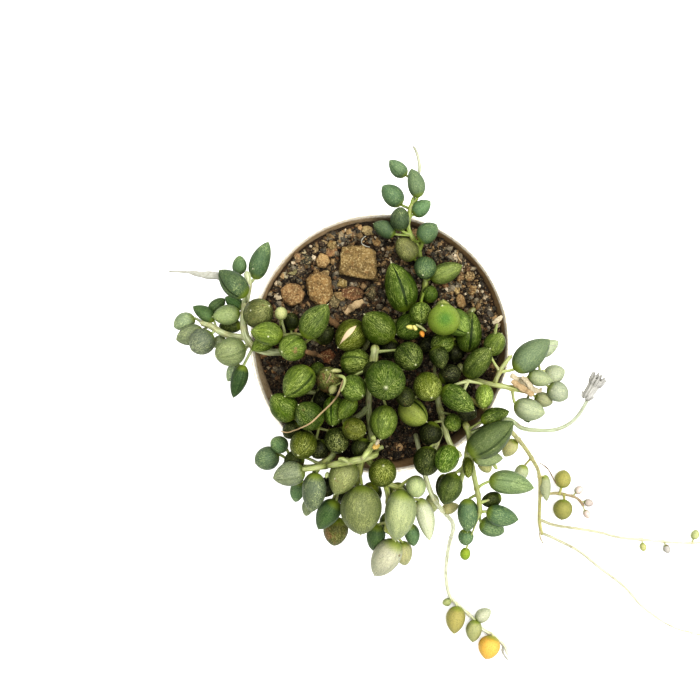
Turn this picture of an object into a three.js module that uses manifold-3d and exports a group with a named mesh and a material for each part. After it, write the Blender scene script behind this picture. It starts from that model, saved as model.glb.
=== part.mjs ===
// A string of pearls plant spilling over the rim of a round clay pot.
// Millimetres, +Z up. The origin is the middle of the pot's flat foot. Each mesh is one closed solid.
// The plant was measured looking straight down, so its places are given as they look from above,
// in millimetres at the height of the rim, and fromAbove() turns them into true places.
import * as THREE from "three";
import { mergeVertices } from "three/addons/utils/BufferGeometryUtils.js";
import { ConvexGeometry } from "three/addons/geometries/ConvexGeometry.js";
import Module from "manifold-3d";

const wasm = await Module();
wasm.setup();

// Pot
const potHeight = 76;
const rimRadius = 43.5;
const rimInnerRadius = 42.5;
const footRadius = 31;
const wallThickness = 2.5;
const lipDepth = 9;
const floorThickness = 4;
const drainHoleRadius = 1.8;
const drainHoleCount = 5;
const drainRingRadius = 18;
const potSides = 30;

// The largest change of shape when small faces are merged
const simplifyTolerance = 0.07;

// Soil
const soilLevel = 68;
const soilGap = 0.35;
const soilSides = 22;
const bankHeight = 3.2;
const gritCount = 6;

// Plant
const eyeX = -10;
const eyeY = -2.3;
const eyeAboveRim = 400;
const stemClearance = 0.48;
const petioleRadius = 0.6;
const bendCost = 5;
const holeDepth = 5;
const stemStep = 4.6;
const sinkTogether = 1;
const settleReach = 1.9;
const facetSwell = 1.05;
const rimTubeRadius = 42.4;
const rimTubeHeight = 74.9;
const rimTubeSize = 1.5;

function seeded(seed) {
  let state = seed;
  return () => {
    state = (state * 16807) % 2147483647;
    return state / 2147483647;
  };
}

// Gentle rise and fall of the soil surface.
function soilTop(x, y) {
  const broad = 0.7 * Math.sin(0.16 * x + 1.1) * Math.cos(0.14 * y + 0.4);
  const fine = 0.35 * Math.sin(0.52 * x - 0.31 * y) + 0.25 * Math.cos(0.44 * y + 0.61 * x);
  return soilLevel + broad + fine;
}

// How far the soil banks up against the wall, on the sides where nothing low trails over it.
function soilBank(x, y) {
  const nearWall = THREE.MathUtils.smoothstep(Math.hypot(x, y), 31, 40);
  return bankHeight * nearWall * THREE.MathUtils.smoothstep(y, -12, 4);
}

// Where a point seen from above at (planX, planY) stands when its height is z, and how much larger it is.
function fromAbove(planX, planY, z) {
  const scale = (eyeAboveRim + potHeight - z) / eyeAboveRim;
  return [eyeX + (planX - eyeX) * scale, eyeY + (planY - eyeY) * scale, scale];
}

function solidOf(geometry) {
  const bare = geometry.index ? geometry.toNonIndexed() : geometry.clone();
  bare.deleteAttribute("normal");
  bare.deleteAttribute("uv");
  const merged = mergeVertices(bare, 1e-4);
  const place = merged.attributes.position;
  const index = merged.index.array;
  const triangles = [];
  let volume = 0;
  const [a, b, c] = [new THREE.Vector3(), new THREE.Vector3(), new THREE.Vector3()];
  for (let i = 0; i < index.length; i += 3) {
    if (index[i] === index[i + 1] || index[i + 1] === index[i + 2] || index[i] === index[i + 2]) continue;
    triangles.push(index[i], index[i + 1], index[i + 2]);
    a.fromBufferAttribute(place, index[i]);
    b.fromBufferAttribute(place, index[i + 1]);
    c.fromBufferAttribute(place, index[i + 2]);
    volume += a.dot(b.cross(c)) / 6;
  }
  if (volume < 0) triangles.reverse();
  const mesh = new wasm.Mesh({
    numProp: 3,
    vertProperties: new Float32Array(place.array),
    triVerts: new Uint32Array(triangles),
  });
  return new wasm.Manifold(mesh);
}

const part = new THREE.Group();
part.name = "potted_string_of_pearls";

function addNode(name, solid, colour, roughness) {
  const mesh = solid.asOriginal().simplify(simplifyTolerance).getMesh();
  const geometry = new THREE.BufferGeometry();
  geometry.setAttribute("position", new THREE.BufferAttribute(new Float32Array(mesh.vertProperties), 3));
  geometry.setIndex(new THREE.BufferAttribute(new Uint32Array(mesh.triVerts), 1));
  geometry.computeVertexNormals();
  const node = new THREE.Mesh(geometry, new THREE.MeshStandardMaterial({ color: colour, roughness }));
  node.name = name;
  part.add(node);
}

// Pot: a tapering wall under a thicker lip with two fine turned lines, and a floor with drain holes.
const lipBottom = potHeight - lipDepth;
const shoulderRadius = rimRadius - 1.7;
const potProfile = [
  [0, 0],
  [footRadius - 0.8, 0],
  [footRadius, 0.9],
  [footRadius + (shoulderRadius - footRadius) * 0.52, lipBottom * 0.5],
  [shoulderRadius, lipBottom],
  [rimRadius - 0.2, lipBottom + 1.1],
  [rimRadius, lipBottom + 3.2],
  [rimRadius - 0.35, lipBottom + 3.7],
  [rimRadius, lipBottom + 4.2],
  [rimRadius - 0.35, lipBottom + 5.9],
  [rimRadius, lipBottom + 6.4],
  [rimRadius - 0.1, potHeight - 0.8],
  [rimRadius - 0.4, potHeight],
  [rimInnerRadius + 0.3, potHeight],
  [rimInnerRadius, potHeight - 0.5],
  [rimInnerRadius - 0.9, lipBottom + 4],
  [shoulderRadius - wallThickness + 0.8, lipBottom - 1],
  [shoulderRadius - wallThickness, lipBottom - 3],
  [footRadius - wallThickness, floorThickness + 1.5],
  [footRadius - wallThickness - 1.5, floorThickness],
  [0, floorThickness],
];
const upright = new THREE.Matrix4().makeRotationX(Math.PI / 2);

function latheUp(profile, sides) {
  const points = profile.map(([radius, height]) => new THREE.Vector2(radius, height));
  return new THREE.LatheGeometry(points, sides).applyMatrix4(upright);
}

let potSolid = solidOf(latheUp(potProfile, potSides));
for (let i = 0; i < drainHoleCount; i++) {
  const angle = (2 * Math.PI * i) / drainHoleCount;
  const hole = new THREE.CylinderGeometry(drainHoleRadius, drainHoleRadius, 3 * floorThickness, 8);
  hole.rotateX(Math.PI / 2);
  hole.translate(drainRingRadius * Math.cos(angle), drainRingRadius * Math.sin(angle), floorThickness / 2);
  potSolid = potSolid.subtract(solidOf(hole));
}
addNode("pot", potSolid, 0xe9dfcb, 0.6);

// Stones lying in the soil: name, place, width, length, turn in degrees, height above the soil, corners
// and colour.
const stones = [
  ["stone_large", -7.3, 27, 13.6, 13.4, 4, 3.4, 4, 0xa98a66],
  ["stone_west", -20.3, 18.6, 9.4, 12.8, 8, 3.2, 6, 0xb08f6a],
  ["stone_far_west", -29.6, 16.6, 8.4, 8.8, 30, 2.8, 7, 0xb58f70],
  ["stone_red", -9.2, 16.8, 8.6, 5.2, -4, 2.2, 6, 0x8a5a44],
  ["stone_pale", -19.2, 28, 5.2, 5.4, 20, 2.0, 6, 0xc4a985],
  ["stone_small_west", -16, 33.2, 3.8, 3.8, 10, 1.6, 5, 0xb79c7a],
  ["stone_north", -4, 38, 4.8, 3.6, -15, 1.6, 6, 0xc9b08c],
  ["stone_chip", -17.6, -4.4, 6.0, 5.6, 40, 0.9, 5, 0x95654c],
  ["stone_east", 27.6, 14.2, 3.6, 6.0, 12, 1.8, 6, 0xa98c6a],
  ["stone_far_east", 30.4, 22.6, 4.0, 3.8, 25, 1.6, 6, 0x9d8468],
];

// An irregular many-sided block: a wide waist with a smaller rough top and foot.
function stoneSolid([, x, y, width, length, turn, height, corners], grow) {
  const random = seeded(Math.round(97 + 31 * Math.abs(x) + 17 * Math.abs(y)));
  const base = soilTop(x, y) + soilBank(x, y);
  const points = [];
  for (let i = 0; i < corners; i++) {
    const angle = ((i + 0.5) / corners) * 2 * Math.PI;
    const reach = corners === 4 ? 1.36 : 1.02 + 0.1 * random();
    const across = (width / 2 + grow) * reach * Math.cos(angle);
    const along = (length / 2 + grow) * reach * Math.sin(angle);
    const cosTurn = Math.cos((turn * Math.PI) / 180);
    const sinTurn = Math.sin((turn * Math.PI) / 180);
    const levels = [[0.7, -2.2 - grow], [1, 0.25 * height], [0.8 + 0.1 * random(), height + grow]];
    for (const [share, level] of levels) {
      points.push(
        new THREE.Vector3(
          x + share * (across * cosTurn - along * sinTurn),
          y + share * (across * sinTurn + along * cosTurn),
          base + level,
        ),
      );
    }
  }
  return solidOf(new ConvexGeometry(points));
}

// The height of whatever lies under a point inside the pot: the soil, or a stone in it.
function groundAt(x, y) {
  let height = soilTop(x, y) + 0.8;
  for (const [, stoneX, stoneY, width, length, turn, rise] of stones) {
    const cosTurn = Math.cos((turn * Math.PI) / 180);
    const sinTurn = Math.sin((turn * Math.PI) / 180);
    const across = ((x - stoneX) * cosTurn + (y - stoneY) * sinTurn) / (width / 2 + 1.2);
    const along = ((y - stoneY) * cosTurn - (x - stoneX) * sinTurn) / (length / 2 + 1.2);
    const inside = across ** 4 + along ** 4 < 1;
    if (inside) height = Math.max(height, soilTop(stoneX, stoneY) + rise + 0.2);
  }
  return height;
}

// The height at which stems run: along the soil, up over the rim, then falling away outside it,
// steeply on the south side and hardly at all on the north side.
function stemBed(x, y) {
  const radius = Math.hypot(x, y);
  const fall = 0.3 - 0.22 * (y / Math.max(radius, 1));
  const climb = THREE.MathUtils.smoothstep(radius, 27, 40.5);
  const inside = groundAt(x, y) + 0.8 + climb * (potHeight + 1.6 - soilLevel - 1.2);
  return radius < 42 ? inside : potHeight + 1.7 - fall * (radius - 44);
}

// Everything already laid down, as balls, so that the next piece can be laid clear of it.
const laid = [];

// The lowest height at which a cluster of balls around (x, y) is clear of all that lies beneath it.
function lowestClear(x, y, balls, owner) {
  let height = -Infinity;
  for (const ball of balls) {
    const bx = x + ball.x;
    const by = y + ball.y;
    const radius = Math.hypot(bx, by);
    if (radius < rimTubeRadius) {
      height = Math.max(height, groundAt(bx, by) + ball.r - ball.z);
      for (let k = 0; k < 6; k++) {
        const angle = (k * Math.PI) / 3;
        const px = bx + 0.75 * ball.r * Math.cos(angle);
        const py = by + 0.75 * ball.r * Math.sin(angle);
        height = Math.max(height, groundAt(px, py) + 0.66 * ball.r - ball.z);
      }
    } else {
      height = Math.max(height, stemBed(bx, by) - 3.5 - ball.z);
    }
    const reach = ball.r + rimTubeSize + stemClearance;
    const offset = Math.abs(radius - rimTubeRadius);
    if (offset < reach) {
      height = Math.max(height, rimTubeHeight + Math.sqrt(reach ** 2 - offset ** 2) - ball.z);
    }
    for (const other of laid) {
      const touching = ball.r + other.r + (other.owner === owner ? -sinkTogether : stemClearance);
      const apart = Math.hypot(bx - other.x, by - other.y);
      if (apart < touching) {
        height = Math.max(height, other.z + Math.sqrt(touching ** 2 - apart ** 2) - ball.z);
      }
    }
  }
  return height;
}

// Width along a pearl, 0 at its base and 1 at its tip: a ball at sharpness 0.5, a pointed drop near 1.
function pearlWidth(t, sharpness) {
  const peak = 0.5 / (0.5 + sharpness);
  const top = peak ** 0.5 * (1 - peak) ** sharpness;
  return (t ** 0.5 * (1 - t) ** sharpness) / top;
}

function directionOf(turn, rise) {
  const across = Math.cos((rise * Math.PI) / 180);
  return new THREE.Vector3(
    across * Math.cos((turn * Math.PI) / 180),
    across * Math.sin((turn * Math.PI) / 180),
    Math.sin((rise * Math.PI) / 180),
  );
}

// Pearl rows: x, y, width, length, direction of the tip in degrees, its rise in degrees, sharpness,
// and for pearls on hanging strands their height.
function layPearl(row, owner) {
  const [planX, planY, planWidth, planLength, turn, rise, sharpness, fixedHeight] = row;
  const direction = directionOf(turn, rise);
  const standing = (shiftX, shiftY, startZ) => {
    const [x, y, scale] = fromAbove(planX + shiftX, planY + shiftY, startZ);
    const [width, length] = [planWidth * scale, planLength * scale];
    const balls = [0.1, 0.3, 0.5, 0.7, 0.88].map((t) => ({
      x: direction.x * (t - 0.5) * length,
      y: direction.y * (t - 0.5) * length,
      z: direction.z * (t - 0.5) * length,
      r: (width / 2) * pearlWidth(t, sharpness),
    }));
    const z = fixedHeight ?? lowestClear(x, y, balls, owner);
    return { centre: new THREE.Vector3(x, y, z), direction, width, length, sharpness, balls };
  };
  let pearl = standing(0, 0, fixedHeight ?? soilLevel + 8);
  for (let pass = 0; pass < 3; pass++) pearl = standing(0, 0, pearl.centre.z);
  let [bestX, bestY, bestCost] = [0, 0, pearl.centre.z];
  for (const reach of [0.33 * settleReach, 0.67 * settleReach, settleReach]) {
    for (let k = 0; k < 8; k++) {
      const [shiftX, shiftY] = [reach * Math.cos((k * Math.PI) / 4), reach * Math.sin((k * Math.PI) / 4)];
      const cost = standing(shiftX, shiftY, pearl.centre.z).centre.z + 0.7 * reach;
      if (cost < bestCost) [bestX, bestY, bestCost] = [shiftX, shiftY, cost];
    }
  }
  for (let pass = 0; pass < 2; pass++) pearl = standing(bestX, bestY, pearl.centre.z);
  for (const ball of pearl.balls) {
    const { x, y, z } = pearl.centre;
    laid.push({ x: x + ball.x, y: y + ball.y, z: z + ball.z, r: ball.r, owner });
  }
  return pearl;
}

// One round of corner cutting, which keeps both ends.
function cutCorners(points) {
  const cut = [points[0]];
  for (let i = 0; i + 1 < points.length; i++) {
    const [from, to] = [points[i], points[i + 1]];
    const kept = Math.min(from.length, to.length);
    const mix = (share) => from.slice(0, kept).map((value, k) => value + (to[k] - value) * share);
    if (i > 0) cut.push(mix(0.25));
    if (i + 2 < points.length) cut.push(mix(0.75));
  }
  cut.push(points[points.length - 1]);
  return cut;
}

// Stem points are x, y and, where the stem hangs free, z. A stem without z is draped over what lies below.
// A rooted stem starts in the soil, and any other one on the nearest stem laid before it.
function layStem({ points, radius, rooted }, owner, parents) {
  const path = cutCorners(cutCorners(points));
  const places = path.map(([planX, planY, fixedHeight]) => {
    let z = fixedHeight ?? soilLevel + 3;
    let x;
    let y;
    for (let pass = 0; pass < 4; pass++) {
      [x, y] = fromAbove(planX, planY, z);
      const ball = [{ x: 0, y: 0, z: 0, r: radius }];
      z = fixedHeight ?? Math.max(stemBed(x, y), lowestClear(x, y, ball, owner));
    }
    return new THREE.Vector3(x, y, z);
  });
  const heights = places.map((place) => place.z);
  places.forEach((place, i) => {
    if (path[i].length > 2) return;
    const before = heights[Math.max(i - 1, 0)];
    const after = heights[Math.min(i + 1, heights.length - 1)];
    place.z = Math.max(heights[i], (before + heights[i] + after) / 3);
  });
  if (rooted) {
    const { x, y } = places[0];
    places.unshift(new THREE.Vector3(x, y, soilLevel - holeDepth), new THREE.Vector3(x, y, soilLevel - 1));
  } else if (parents.length) {
    let nearest = null;
    for (const place of parents.flatMap((parent) => parent.samples)) {
      const distance = Math.hypot(place.x - places[0].x, place.y - places[0].y);
      if (!nearest || distance < nearest.distance) nearest = { place, distance };
    }
    places[0] = nearest.place.clone();
  }
  const curve = new THREE.CatmullRomCurve3(places);
  const steps = Math.max(3, Math.round(curve.getLength() / stemStep));
  const knots = curve.getSpacedPoints(steps);
  const samples = [];
  for (let i = 0; i < steps; i++) {
    const pieces = Math.ceil(knots[i].distanceTo(knots[i + 1]));
    for (let k = 0; k < pieces; k++) samples.push(knots[i].clone().lerp(knots[i + 1], k / pieces));
  }
  samples.push(knots[steps]);
  for (const place of samples) laid.push({ x: place.x, y: place.y, z: place.z, r: radius, owner });
  return { curve, samples, radius, steps, rooted };
}

// A closed rod with few sides along a curve.
function rodSolid(curve, radius, sides, steps) {
  const outline = new THREE.Shape();
  for (let i = 0; i < sides; i++) {
    const angle = (2 * Math.PI * i) / sides;
    const corner = [radius * Math.cos(angle), radius * Math.sin(angle)];
    if (i === 0) outline.moveTo(...corner);
    else outline.lineTo(...corner);
  }
  return solidOf(new THREE.ExtrudeGeometry(outline, { steps, extrudePath: curve, bevelEnabled: false }));
}

function pearlSolid({ centre, direction, width, length, sharpness }) {
  const sides = width < 8.5 ? 6 : 7;
  const bands = width < 5.5 ? 3 : 4;
  const ball = new THREE.SphereGeometry(1, sides, bands);
  const place = ball.attributes.position;
  const swell = facetSwell * width / 2;
  for (let i = 0; i < place.count; i++) {
    const t = (1 + place.getY(i)) / 2;
    const around = Math.hypot(place.getX(i), place.getZ(i)) || 1;
    const radius = t < 0.001 || t > 0.999 ? 0 : swell * pearlWidth(t, sharpness);
    place.setXYZ(
      i,
      (place.getX(i) / around) * radius,
      (t - 0.5) * length,
      (place.getZ(i) / around) * radius,
    );
  }
  const turn = new THREE.Quaternion().setFromUnitVectors(new THREE.Vector3(0, 1, 0), direction);
  ball.applyQuaternion(turn);
  ball.translate(centre.x, centre.y, centre.z);
  return solidOf(ball);
}

// The stalk of a pearl: from its base to the place on its own stem that is nearest and reached
// clear of every other stem's pieces.
function petiole(pearl, stems, owner) {
  const base = pearl.centre.clone().addScaledVector(pearl.direction, -0.36 * pearl.length);
  const outward = pearl.centre.clone().addScaledVector(pearl.direction, -0.5 * pearl.length - 0.4);
  outward.z = Math.max(outward.z, 2);
  let best = null;
  for (const stem of stems) {
    for (const [i, root] of stem.samples.entries()) {
      const inSoil = stem.rooted && i < holeDepth + 2;
      if (inSoil || i === stem.samples.length - 1) continue;
      const onward = root.clone().sub(outward).normalize();
      const bend = 1 + onward.dot(pearl.direction);
      let cost = base.distanceTo(root) + bendCost * bend;
      if (best && cost > best.cost) continue;
      const curve = new THREE.QuadraticBezierCurve3(base, outward, root);
      for (const place of curve.getPoints(10)) {
        for (const other of laid) {
          if (other.owner === owner) continue;
          const room = petioleRadius + other.r + 0.3;
          const gap = Math.hypot(place.x - other.x, place.y - other.y, place.z - other.z);
          if (gap < room) cost += 40;
        }
        const radius = Math.hypot(place.x, place.y);
        const rimGap = Math.hypot(radius - rimTubeRadius, place.z - rimTubeHeight);
        const overWall = radius > rimInnerRadius - 1.2 && radius < rimRadius + 0.8;
        const inWall = overWall && place.z < potHeight + 0.8;
        if (rimGap < rimTubeSize + petioleRadius + 0.3 || inWall) cost += 40;
        if (radius < rimInnerRadius && place.z < groundAt(place.x, place.y) + 0.4) cost += 40;
      }
      if (!best || cost < best.cost) best = { cost, curve, steps: bend < 0.7 ? 2 : 4 };
    }
  }
  for (const place of best.curve.getPoints(8)) {
    laid.push({ x: place.x, y: place.y, z: place.z, r: petioleRadius, owner });
  }
  return best;
}

// The plant, lowest pieces first. Each leafy stem is one node: its stems, then its pearls.
const plant = [
  {
    name: "strand_east",
    stems: [
      {
        radius: 0.8,
        rooted: true,
        points: [[27, -17, 70], [33, -20.5, 75], [37.5, -24, 79], [42, -28, 77], [44.3, -30, 70],
          [48.3, -34.7, 52], [51, -39, 36], [53.3, -43.3, 20], [53.3, -52.3, 6], [53, -59, 1.1],
          [54, -64, 1.1]],
      },
      {
        radius: 0.7,
        points: [[53, -58.5, 1.1], [57.3, -60.7, 1.1], [65, -61.7, 1.1], [73.3, -63, 1.1], [80, -65, 1.1],
          [90, -65.7, 1.1], [100, -66.7, 1.1], [108, -66.5, 1.1]],
      },
      {
        radius: 0.7,
        points: [[53.7, -63, 1.1], [60, -66, 1.1], [66.7, -69.3, 1.1], [73.3, -75, 1.1], [81.7, -81, 1.1],
          [86.7, -87.3, 1.1], [93.3, -92.3, 1.1], [100, -95.7, 1.1], [108, -97.5, 1.1]],
      },
      {
        radius: 0.7,
        points: [[53.3, -51, 7.2], [57, -50, 3.2], [61, -50.2, 1.4], [66, -51.5, 1.4], [68, -54.5, 1.4]],
      },
    ],
    pearls: [
      [43.3, -35, 5, 7, 240, -20, 0.68, 58],
      [47, -43.5, 4.6, 6.5, 250, -20, 0.68, 36],
      [55.3, -48.3, 3.6, 9, 275, -10, 0.71, 14],
      [61, -45.3, 5.6, 6, 80, 5, 0.57, 3.6],
      [61, -55.5, 6.4, 6.8, 260, 5, 0.57, 4],
      [66.4, -49, 2.6, 3.2, 40, 10, 0.57, 2],
      [69.6, -53.2, 2.6, 3.2, 350, 10, 0.57, 2],
      [69, -57, 2.4, 3, 300, 10, 0.57, 1.9],
      [87.7, -68, 2.2, 2.8, 280, 5, 0.57, 1.8],
      [95.7, -68.6, 2.4, 3, 290, 5, 0.57, 1.8],
      [105, -63.8, 2.7, 3.4, 70, 5, 0.57, 1.9],
    ],
  },
  {
    name: "strand_south",
    stems: [
      {
        radius: 0.8,
        rooted: true,
        points: [[12, -31, 70], [13.4, -37, 76], [14.5, -42, 79], [16, -47.5, 77], [18.5, -53.3, 68],
          [22, -57, 56], [25, -60.7, 42], [22.8, -67.3, 22], [21.7, -77.3, 6], [23, -84.7, 1.2],
          [26.7, -87.7, 1.1], [30, -90.7, 1.1], [33.3, -95, 1.1], [39, -98, 1.1], [41.7, -100.7, 1.1],
          [42.7, -104, 1.1]],
      },
    ],
    pearls: [
      [17.2, -53.6, 4.6, 7.6, 265, -25, 0.68, 64],
      [23.4, -55, 4, 6, 20, 0, 0.68, 58],
      [22.3, -86.3, 2.6, 3, 200, 10, 0.57, 1.9],
      [25.3, -92.3, 6.4, 9.2, 262, 0, 0.71, 3.9],
      [31.4, -96, 5.2, 7.4, 262, 0, 0.71, 3.2],
      [34.5, -90.7, 4.4, 6, 40, 5, 0.64, 2.9],
      [36.5, -101.5, 7.2, 8, 250, 0, 0.64, 4.4],
    ],
  },
  {
    name: "stem_south",
    stems: [
      { radius: 1, rooted: true,
        points: [[-2.5, -29, 70], [-4, -33, 75], [-5.5, -37.5], [-7, -43], [-8, -50], [-7, -56]] },
      { radius: 0.9, points: [[-5.5, -37.5], [-1, -42], [2.5, -48], [3, -56], [2, -63]] },
      { radius: 0.9, points: [[-6, -40], [-12, -44.5], [-15, -51], [-16.5, -57]] },
      { radius: 0.8, points: [[2.2, -46.5], [8, -49], [12, -55]] },
    ],
    pearls: [
      [-3, -50, 7, 8, 265, -50, 0.57, 56],
      [-12, -50, 7, 8, 240, -45, 0.57, 57],
      [6, -50, 7, 8, 285, -50, 0.57, 55],
      [-7, -58, 7.5, 9, 260, -40, 0.6, 50],
      [3.5, -60, 7, 9, 275, -45, 0.6, 48],
      [-1.7, -64.7, 6.5, 10, 262, -20, 0.74],
      [10.7, -64, 5, 8, 280, -15, 0.71],
      [8, -68.3, 6.3, 8.6, 275, -15, 0.68],
      [0.5, -70.5, 9.6, 15, 240, -18, 0.71],
      [-14.7, -61.7, 8.2, 10, 262, -15, 0.64],
      [-17.7, -47.3, 6.6, 8, 200, 0, 0.57],
      [-17.5, -57.3, 7.8, 12, 238, -15, 0.74],
      [13.3, -59.3, 6, 15, 283, -8, 0.74],
      [6.5, -56.7, 10.8, 17.6, 262, -8, 0.71],
      [-6.2, -55.5, 13.8, 16.4, 268, 5, 0.58],
      [1, -43, 9.4, 10.4, 90, 60, 0.54],
      [11.2, -48.7, 6.8, 7.4, 280, 10, 0.57],
      [-11.3, -45.7, 9.6, 12.3, 241, 10, 0.68],
    ],
  },
  {
    name: "stem_south_west",
    stems: [
      { radius: 1, rooted: true,
        points: [[-13, -29, 70], [-14.5, -33, 75], [-15.5, -37.5], [-20, -41], [-25.3, -41.7],
          [-30, -40]] },
      { radius: 0.8, points: [[-20, -41], [-23, -45], [-25, -50]] },
    ],
    pearls: [
      [-24.3, -55, 4, 6, 262, -20, 0.74],
      [-27, -49, 5, 8, 258, -20, 0.68],
      [-30, -42, 6, 7, 220, -40, 0.57, 60],
      [-27.7, -38, 6.4, 7, 200, 0, 0.57],
      [-37.7, -38.3, 8, 8.4, 205, 10, 0.54],
      [-32.3, -33.8, 5.8, 6.2, 150, 20, 0.54],
      [-22.2, -49.7, 8.2, 13.3, 265, -5, 0.68],
      [-30.3, -43.2, 8.2, 10.8, 192, 5, 0.68],
    ],
  },
  {
    name: "stem_west",
    stems: [
      { radius: 0.9, rooted: true,
        points: [[-27, -3], [-33, -3], [-38.3, -3], [-43, -1], [-45.7, 4.3], [-45, 13], [-43.7, 20],
          [-44.5, 24]] },
      { radius: 0.8, points: [[-45.5, 1.7], [-51.7, 2.7], [-56.7, 6], [-60, 7]] },
      { radius: 0.7,
        points: [[-44, 18, 82], [-52.7, 21, 83], [-58.3, 23.7, 84], [-63.3, 23.7, 84.5], [-70.3, 24, 84]] },
    ],
    pearls: [
      [-47, 13.7, 4.4, 7.4, 150, -10, 0.64],
      [-49.3, 5.7, 5, 7.7, 180, -10, 0.6],
      [-54.3, 12.7, 4.6, 6.6, 40, 0, 0.68],
      [-58.3, 10.3, 5, 8.6, 147, 0, 0.74],
      [-49, -9.7, 4.5, 7.2, 240, -10, 0.74],
      [-53.7, 0.3, 4, 5, 220, 0, 0.64],
      [-64, 7, 6, 7.6, 205, 0, 0.6],
      [-63.3, 4, 6.8, 9.4, 201, 10, 0.64],
      [-45.3, -12.7, 5.6, 11.6, 252, -10, 0.74],
      [-50.3, 10.3, 6.7, 9.2, 188, 10, 0.64],
      [-46.3, 26, 5, 6.4, 85, 15, 0.64],
      [-49, 20, 8, 12.4, 137, 5, 0.71],
      [-39.7, 25.7, 6.8, 13.4, 69, 10, 0.71],
      [-40.7, 10, 9.8, 10.6, 30, 30, 0.51],
      [-59.3, 1, 8.6, 9, 222, 15, 0.54],
      [-48, -2.7, 9.6, 10.6, 200, 20, 0.54],
    ],
  },
  {
    name: "stem_west_inner",
    stems: [
      { radius: 0.9, rooted: true, points: [[-19.5, 1.5], [-25, 2.5], [-30, 2.8], [-35, 2]] },
      { radius: 0.6, points: [[-31.5, 2.8], [-32.5, 6], [-33, 9]] },
    ],
    pearls: [
      [-18.3, 2.7, 6, 7, 40, 10, 0.6],
      [-29.7, 7.2, 5.2, 6, 90, 10, 0.54],
      [-33, 9.6, 4.2, 4.6, 90, 40, 0.54],
      [-39, 0, 5.8, 9, 212, 5, 0.74],
      [-37.7, 3.6, 7.8, 10.8, 170, 10, 0.68],
      [-30, -0.3, 9, 9.2, 200, 40, 0.54],
      [-22.7, 6, 9, 13.6, 54, 10, 0.71],
    ],
  },
  {
    name: "stem_heap_north",
    stems: [
      { radius: 1, rooted: true, points: [[1, 9.5], [-3, 2], [-5.5, -2.5]] },
      { radius: 0.9, points: [[0.5, 8.5], [4.5, 6.5], [7.5, 8]] },
    ],
    pearls: [
      [3.2, -1.8, 6.4, 7, 250, 0, 0.54],
      [-8, -6.5, 9.6, 10.6, 5, 25, 0.57],
      [8, 4.3, 9, 10.2, 215, 20, 0.58],
      [-9.8, 0.5, 10.2, 12, 223, 20, 0.61],
      [-1.3, 5.3, 10.8, 12.8, 137, 15, 0.64],
      [6.3, 16.7, 10.8, 17, 108, 10, 0.71],
    ],
  },
  {
    name: "stem_north",
    stems: [
      { radius: 0.9, rooted: true,
        points: [[14, 14.3], [15.3, 20], [15, 24.3], [13.3, 28.3], [13, 31.7], [10.7, 35.3], [9, 39],
          [10, 44], [11.5, 49]] },
      { radius: 0.7, points: [[13.2, 30.5], [14.2, 34], [15.6, 36.5]] },
      { radius: 0.6, points: [[11.8, 50], [13.3, 57.7], [13, 61], [12, 64.3], [11, 65.7]] },
    ],
    pearls: [
      [16, 16.3, 5.4, 6, 80, 0, 0.57],
      [12.3, 11.3, 7.4, 7.6, 270, 20, 0.51],
      [22, 23.7, 7, 11.4, 22, 10, 0.68],
      [15, 24.3, 7.4, 8.4, 250, 50, 0.54],
      [7.7, 30.3, 7.4, 9, 127, 15, 0.61],
      [16, 36.7, 6.8, 8, 45, 10, 0.6],
      [2.7, 39.3, 5.8, 8, 153, 5, 0.68],
      [12.7, 45, 5.4, 7.2, 39, 10, 0.68],
      [4, 47.3, 6.8, 9, 135, 10, 0.64],
      [7.7, 42.3, 6.6, 8.2, 90, 25, 0.61],
      [11.7, 53.3, 6, 9.8, 105, 5, 0.68],
      [7.3, 57, 5.2, 7.6, 138, 5, 0.71],
    ],
  },
  {
    name: "stem_lime",
    stems: [
      { radius: 0.9, rooted: true, points: [[31, 11], [27, 8.5], [22.5, 4.5], [19.5, 1]] },
      { radius: 0.7, points: [[27, 8.5], [29.5, 3], [29.5, -2]] },
    ],
    pearls: [
      [14.6, 1, 6, 6.6, 200, 0, 0.54],
      [25, -3.2, 6, 6.6, 270, 0, 0.54],
      [20.7, 0, 7.4, 8, 200, 10, 0.57],
      [29.3, 3.7, 8.8, 14, 85, 15, 0.7],
      [19.7, 12.7, 5.8, 6.4, 90, 10, 0.57],
      [26.7, 6.8, 8.8, 10.6, 318, 20, 0.6],
      [20, 8, 10.6, 11, 100, 35, 0.54],
    ],
  },
  {
    name: "stem_east_lower",
    stems: [
      { radius: 1, rooted: true,
        points: [[27, -24, 70], [29, -28, 75], [30, -32], [29.3, -36], [28, -42], [26, -49]] },
      { radius: 0.9, points: [[29.4, -35.5], [31.5, -45], [33, -52], [33.5, -57]] },
      { radius: 0.8, points: [[29.6, -34.5], [35, -36.5], [39, -42]] },
      { radius: 0.8,
        points: [[30, -30.5], [36, -27.5], [42, -25], [44.7, -26.3], [47.3, -28.7], [55, -29.3],
          [60, -28.7], [65, -25.7], [68.3, -20.7], [69.6, -18]] },
    ],
    pearls: [
      [20.3, -47.3, 4, 8.6, 262, -10, 0.64],
      [35, -40.5, 4.6, 6, 300, 0, 0.57],
      [28.5, -64.7, 5.2, 5.6, 270, -10, 0.57],
      [28.5, -69.8, 3.6, 5.2, 270, -40, 0.71],
      [36.3, -51.3, 5.2, 7, 200, 0, 0.57],
      [37.3, -61.5, 7, 8.8, 340, -5, 0.65],
      [39.5, -56.2, 7.2, 11, 345, 0, 0.71],
      [29.2, -57.3, 7, 11.2, 270, -5, 0.64],
      [36, -37.8, 5.4, 10, 0, -5, 0.68],
      [25, -48.5, 8, 11, 250, 5, 0.64],
      [42.5, -45.7, 8.2, 15.2, 350, 0, 0.74],
      [29.3, -41.5, 3.6, 7, 270, 20, 0.57],
      [38.3, -24.5, 5.6, 10, 20, 0, 0.68],
      [37, -29.7, 10.2, 18.4, 36, 5, 0.74],
    ],
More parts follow.
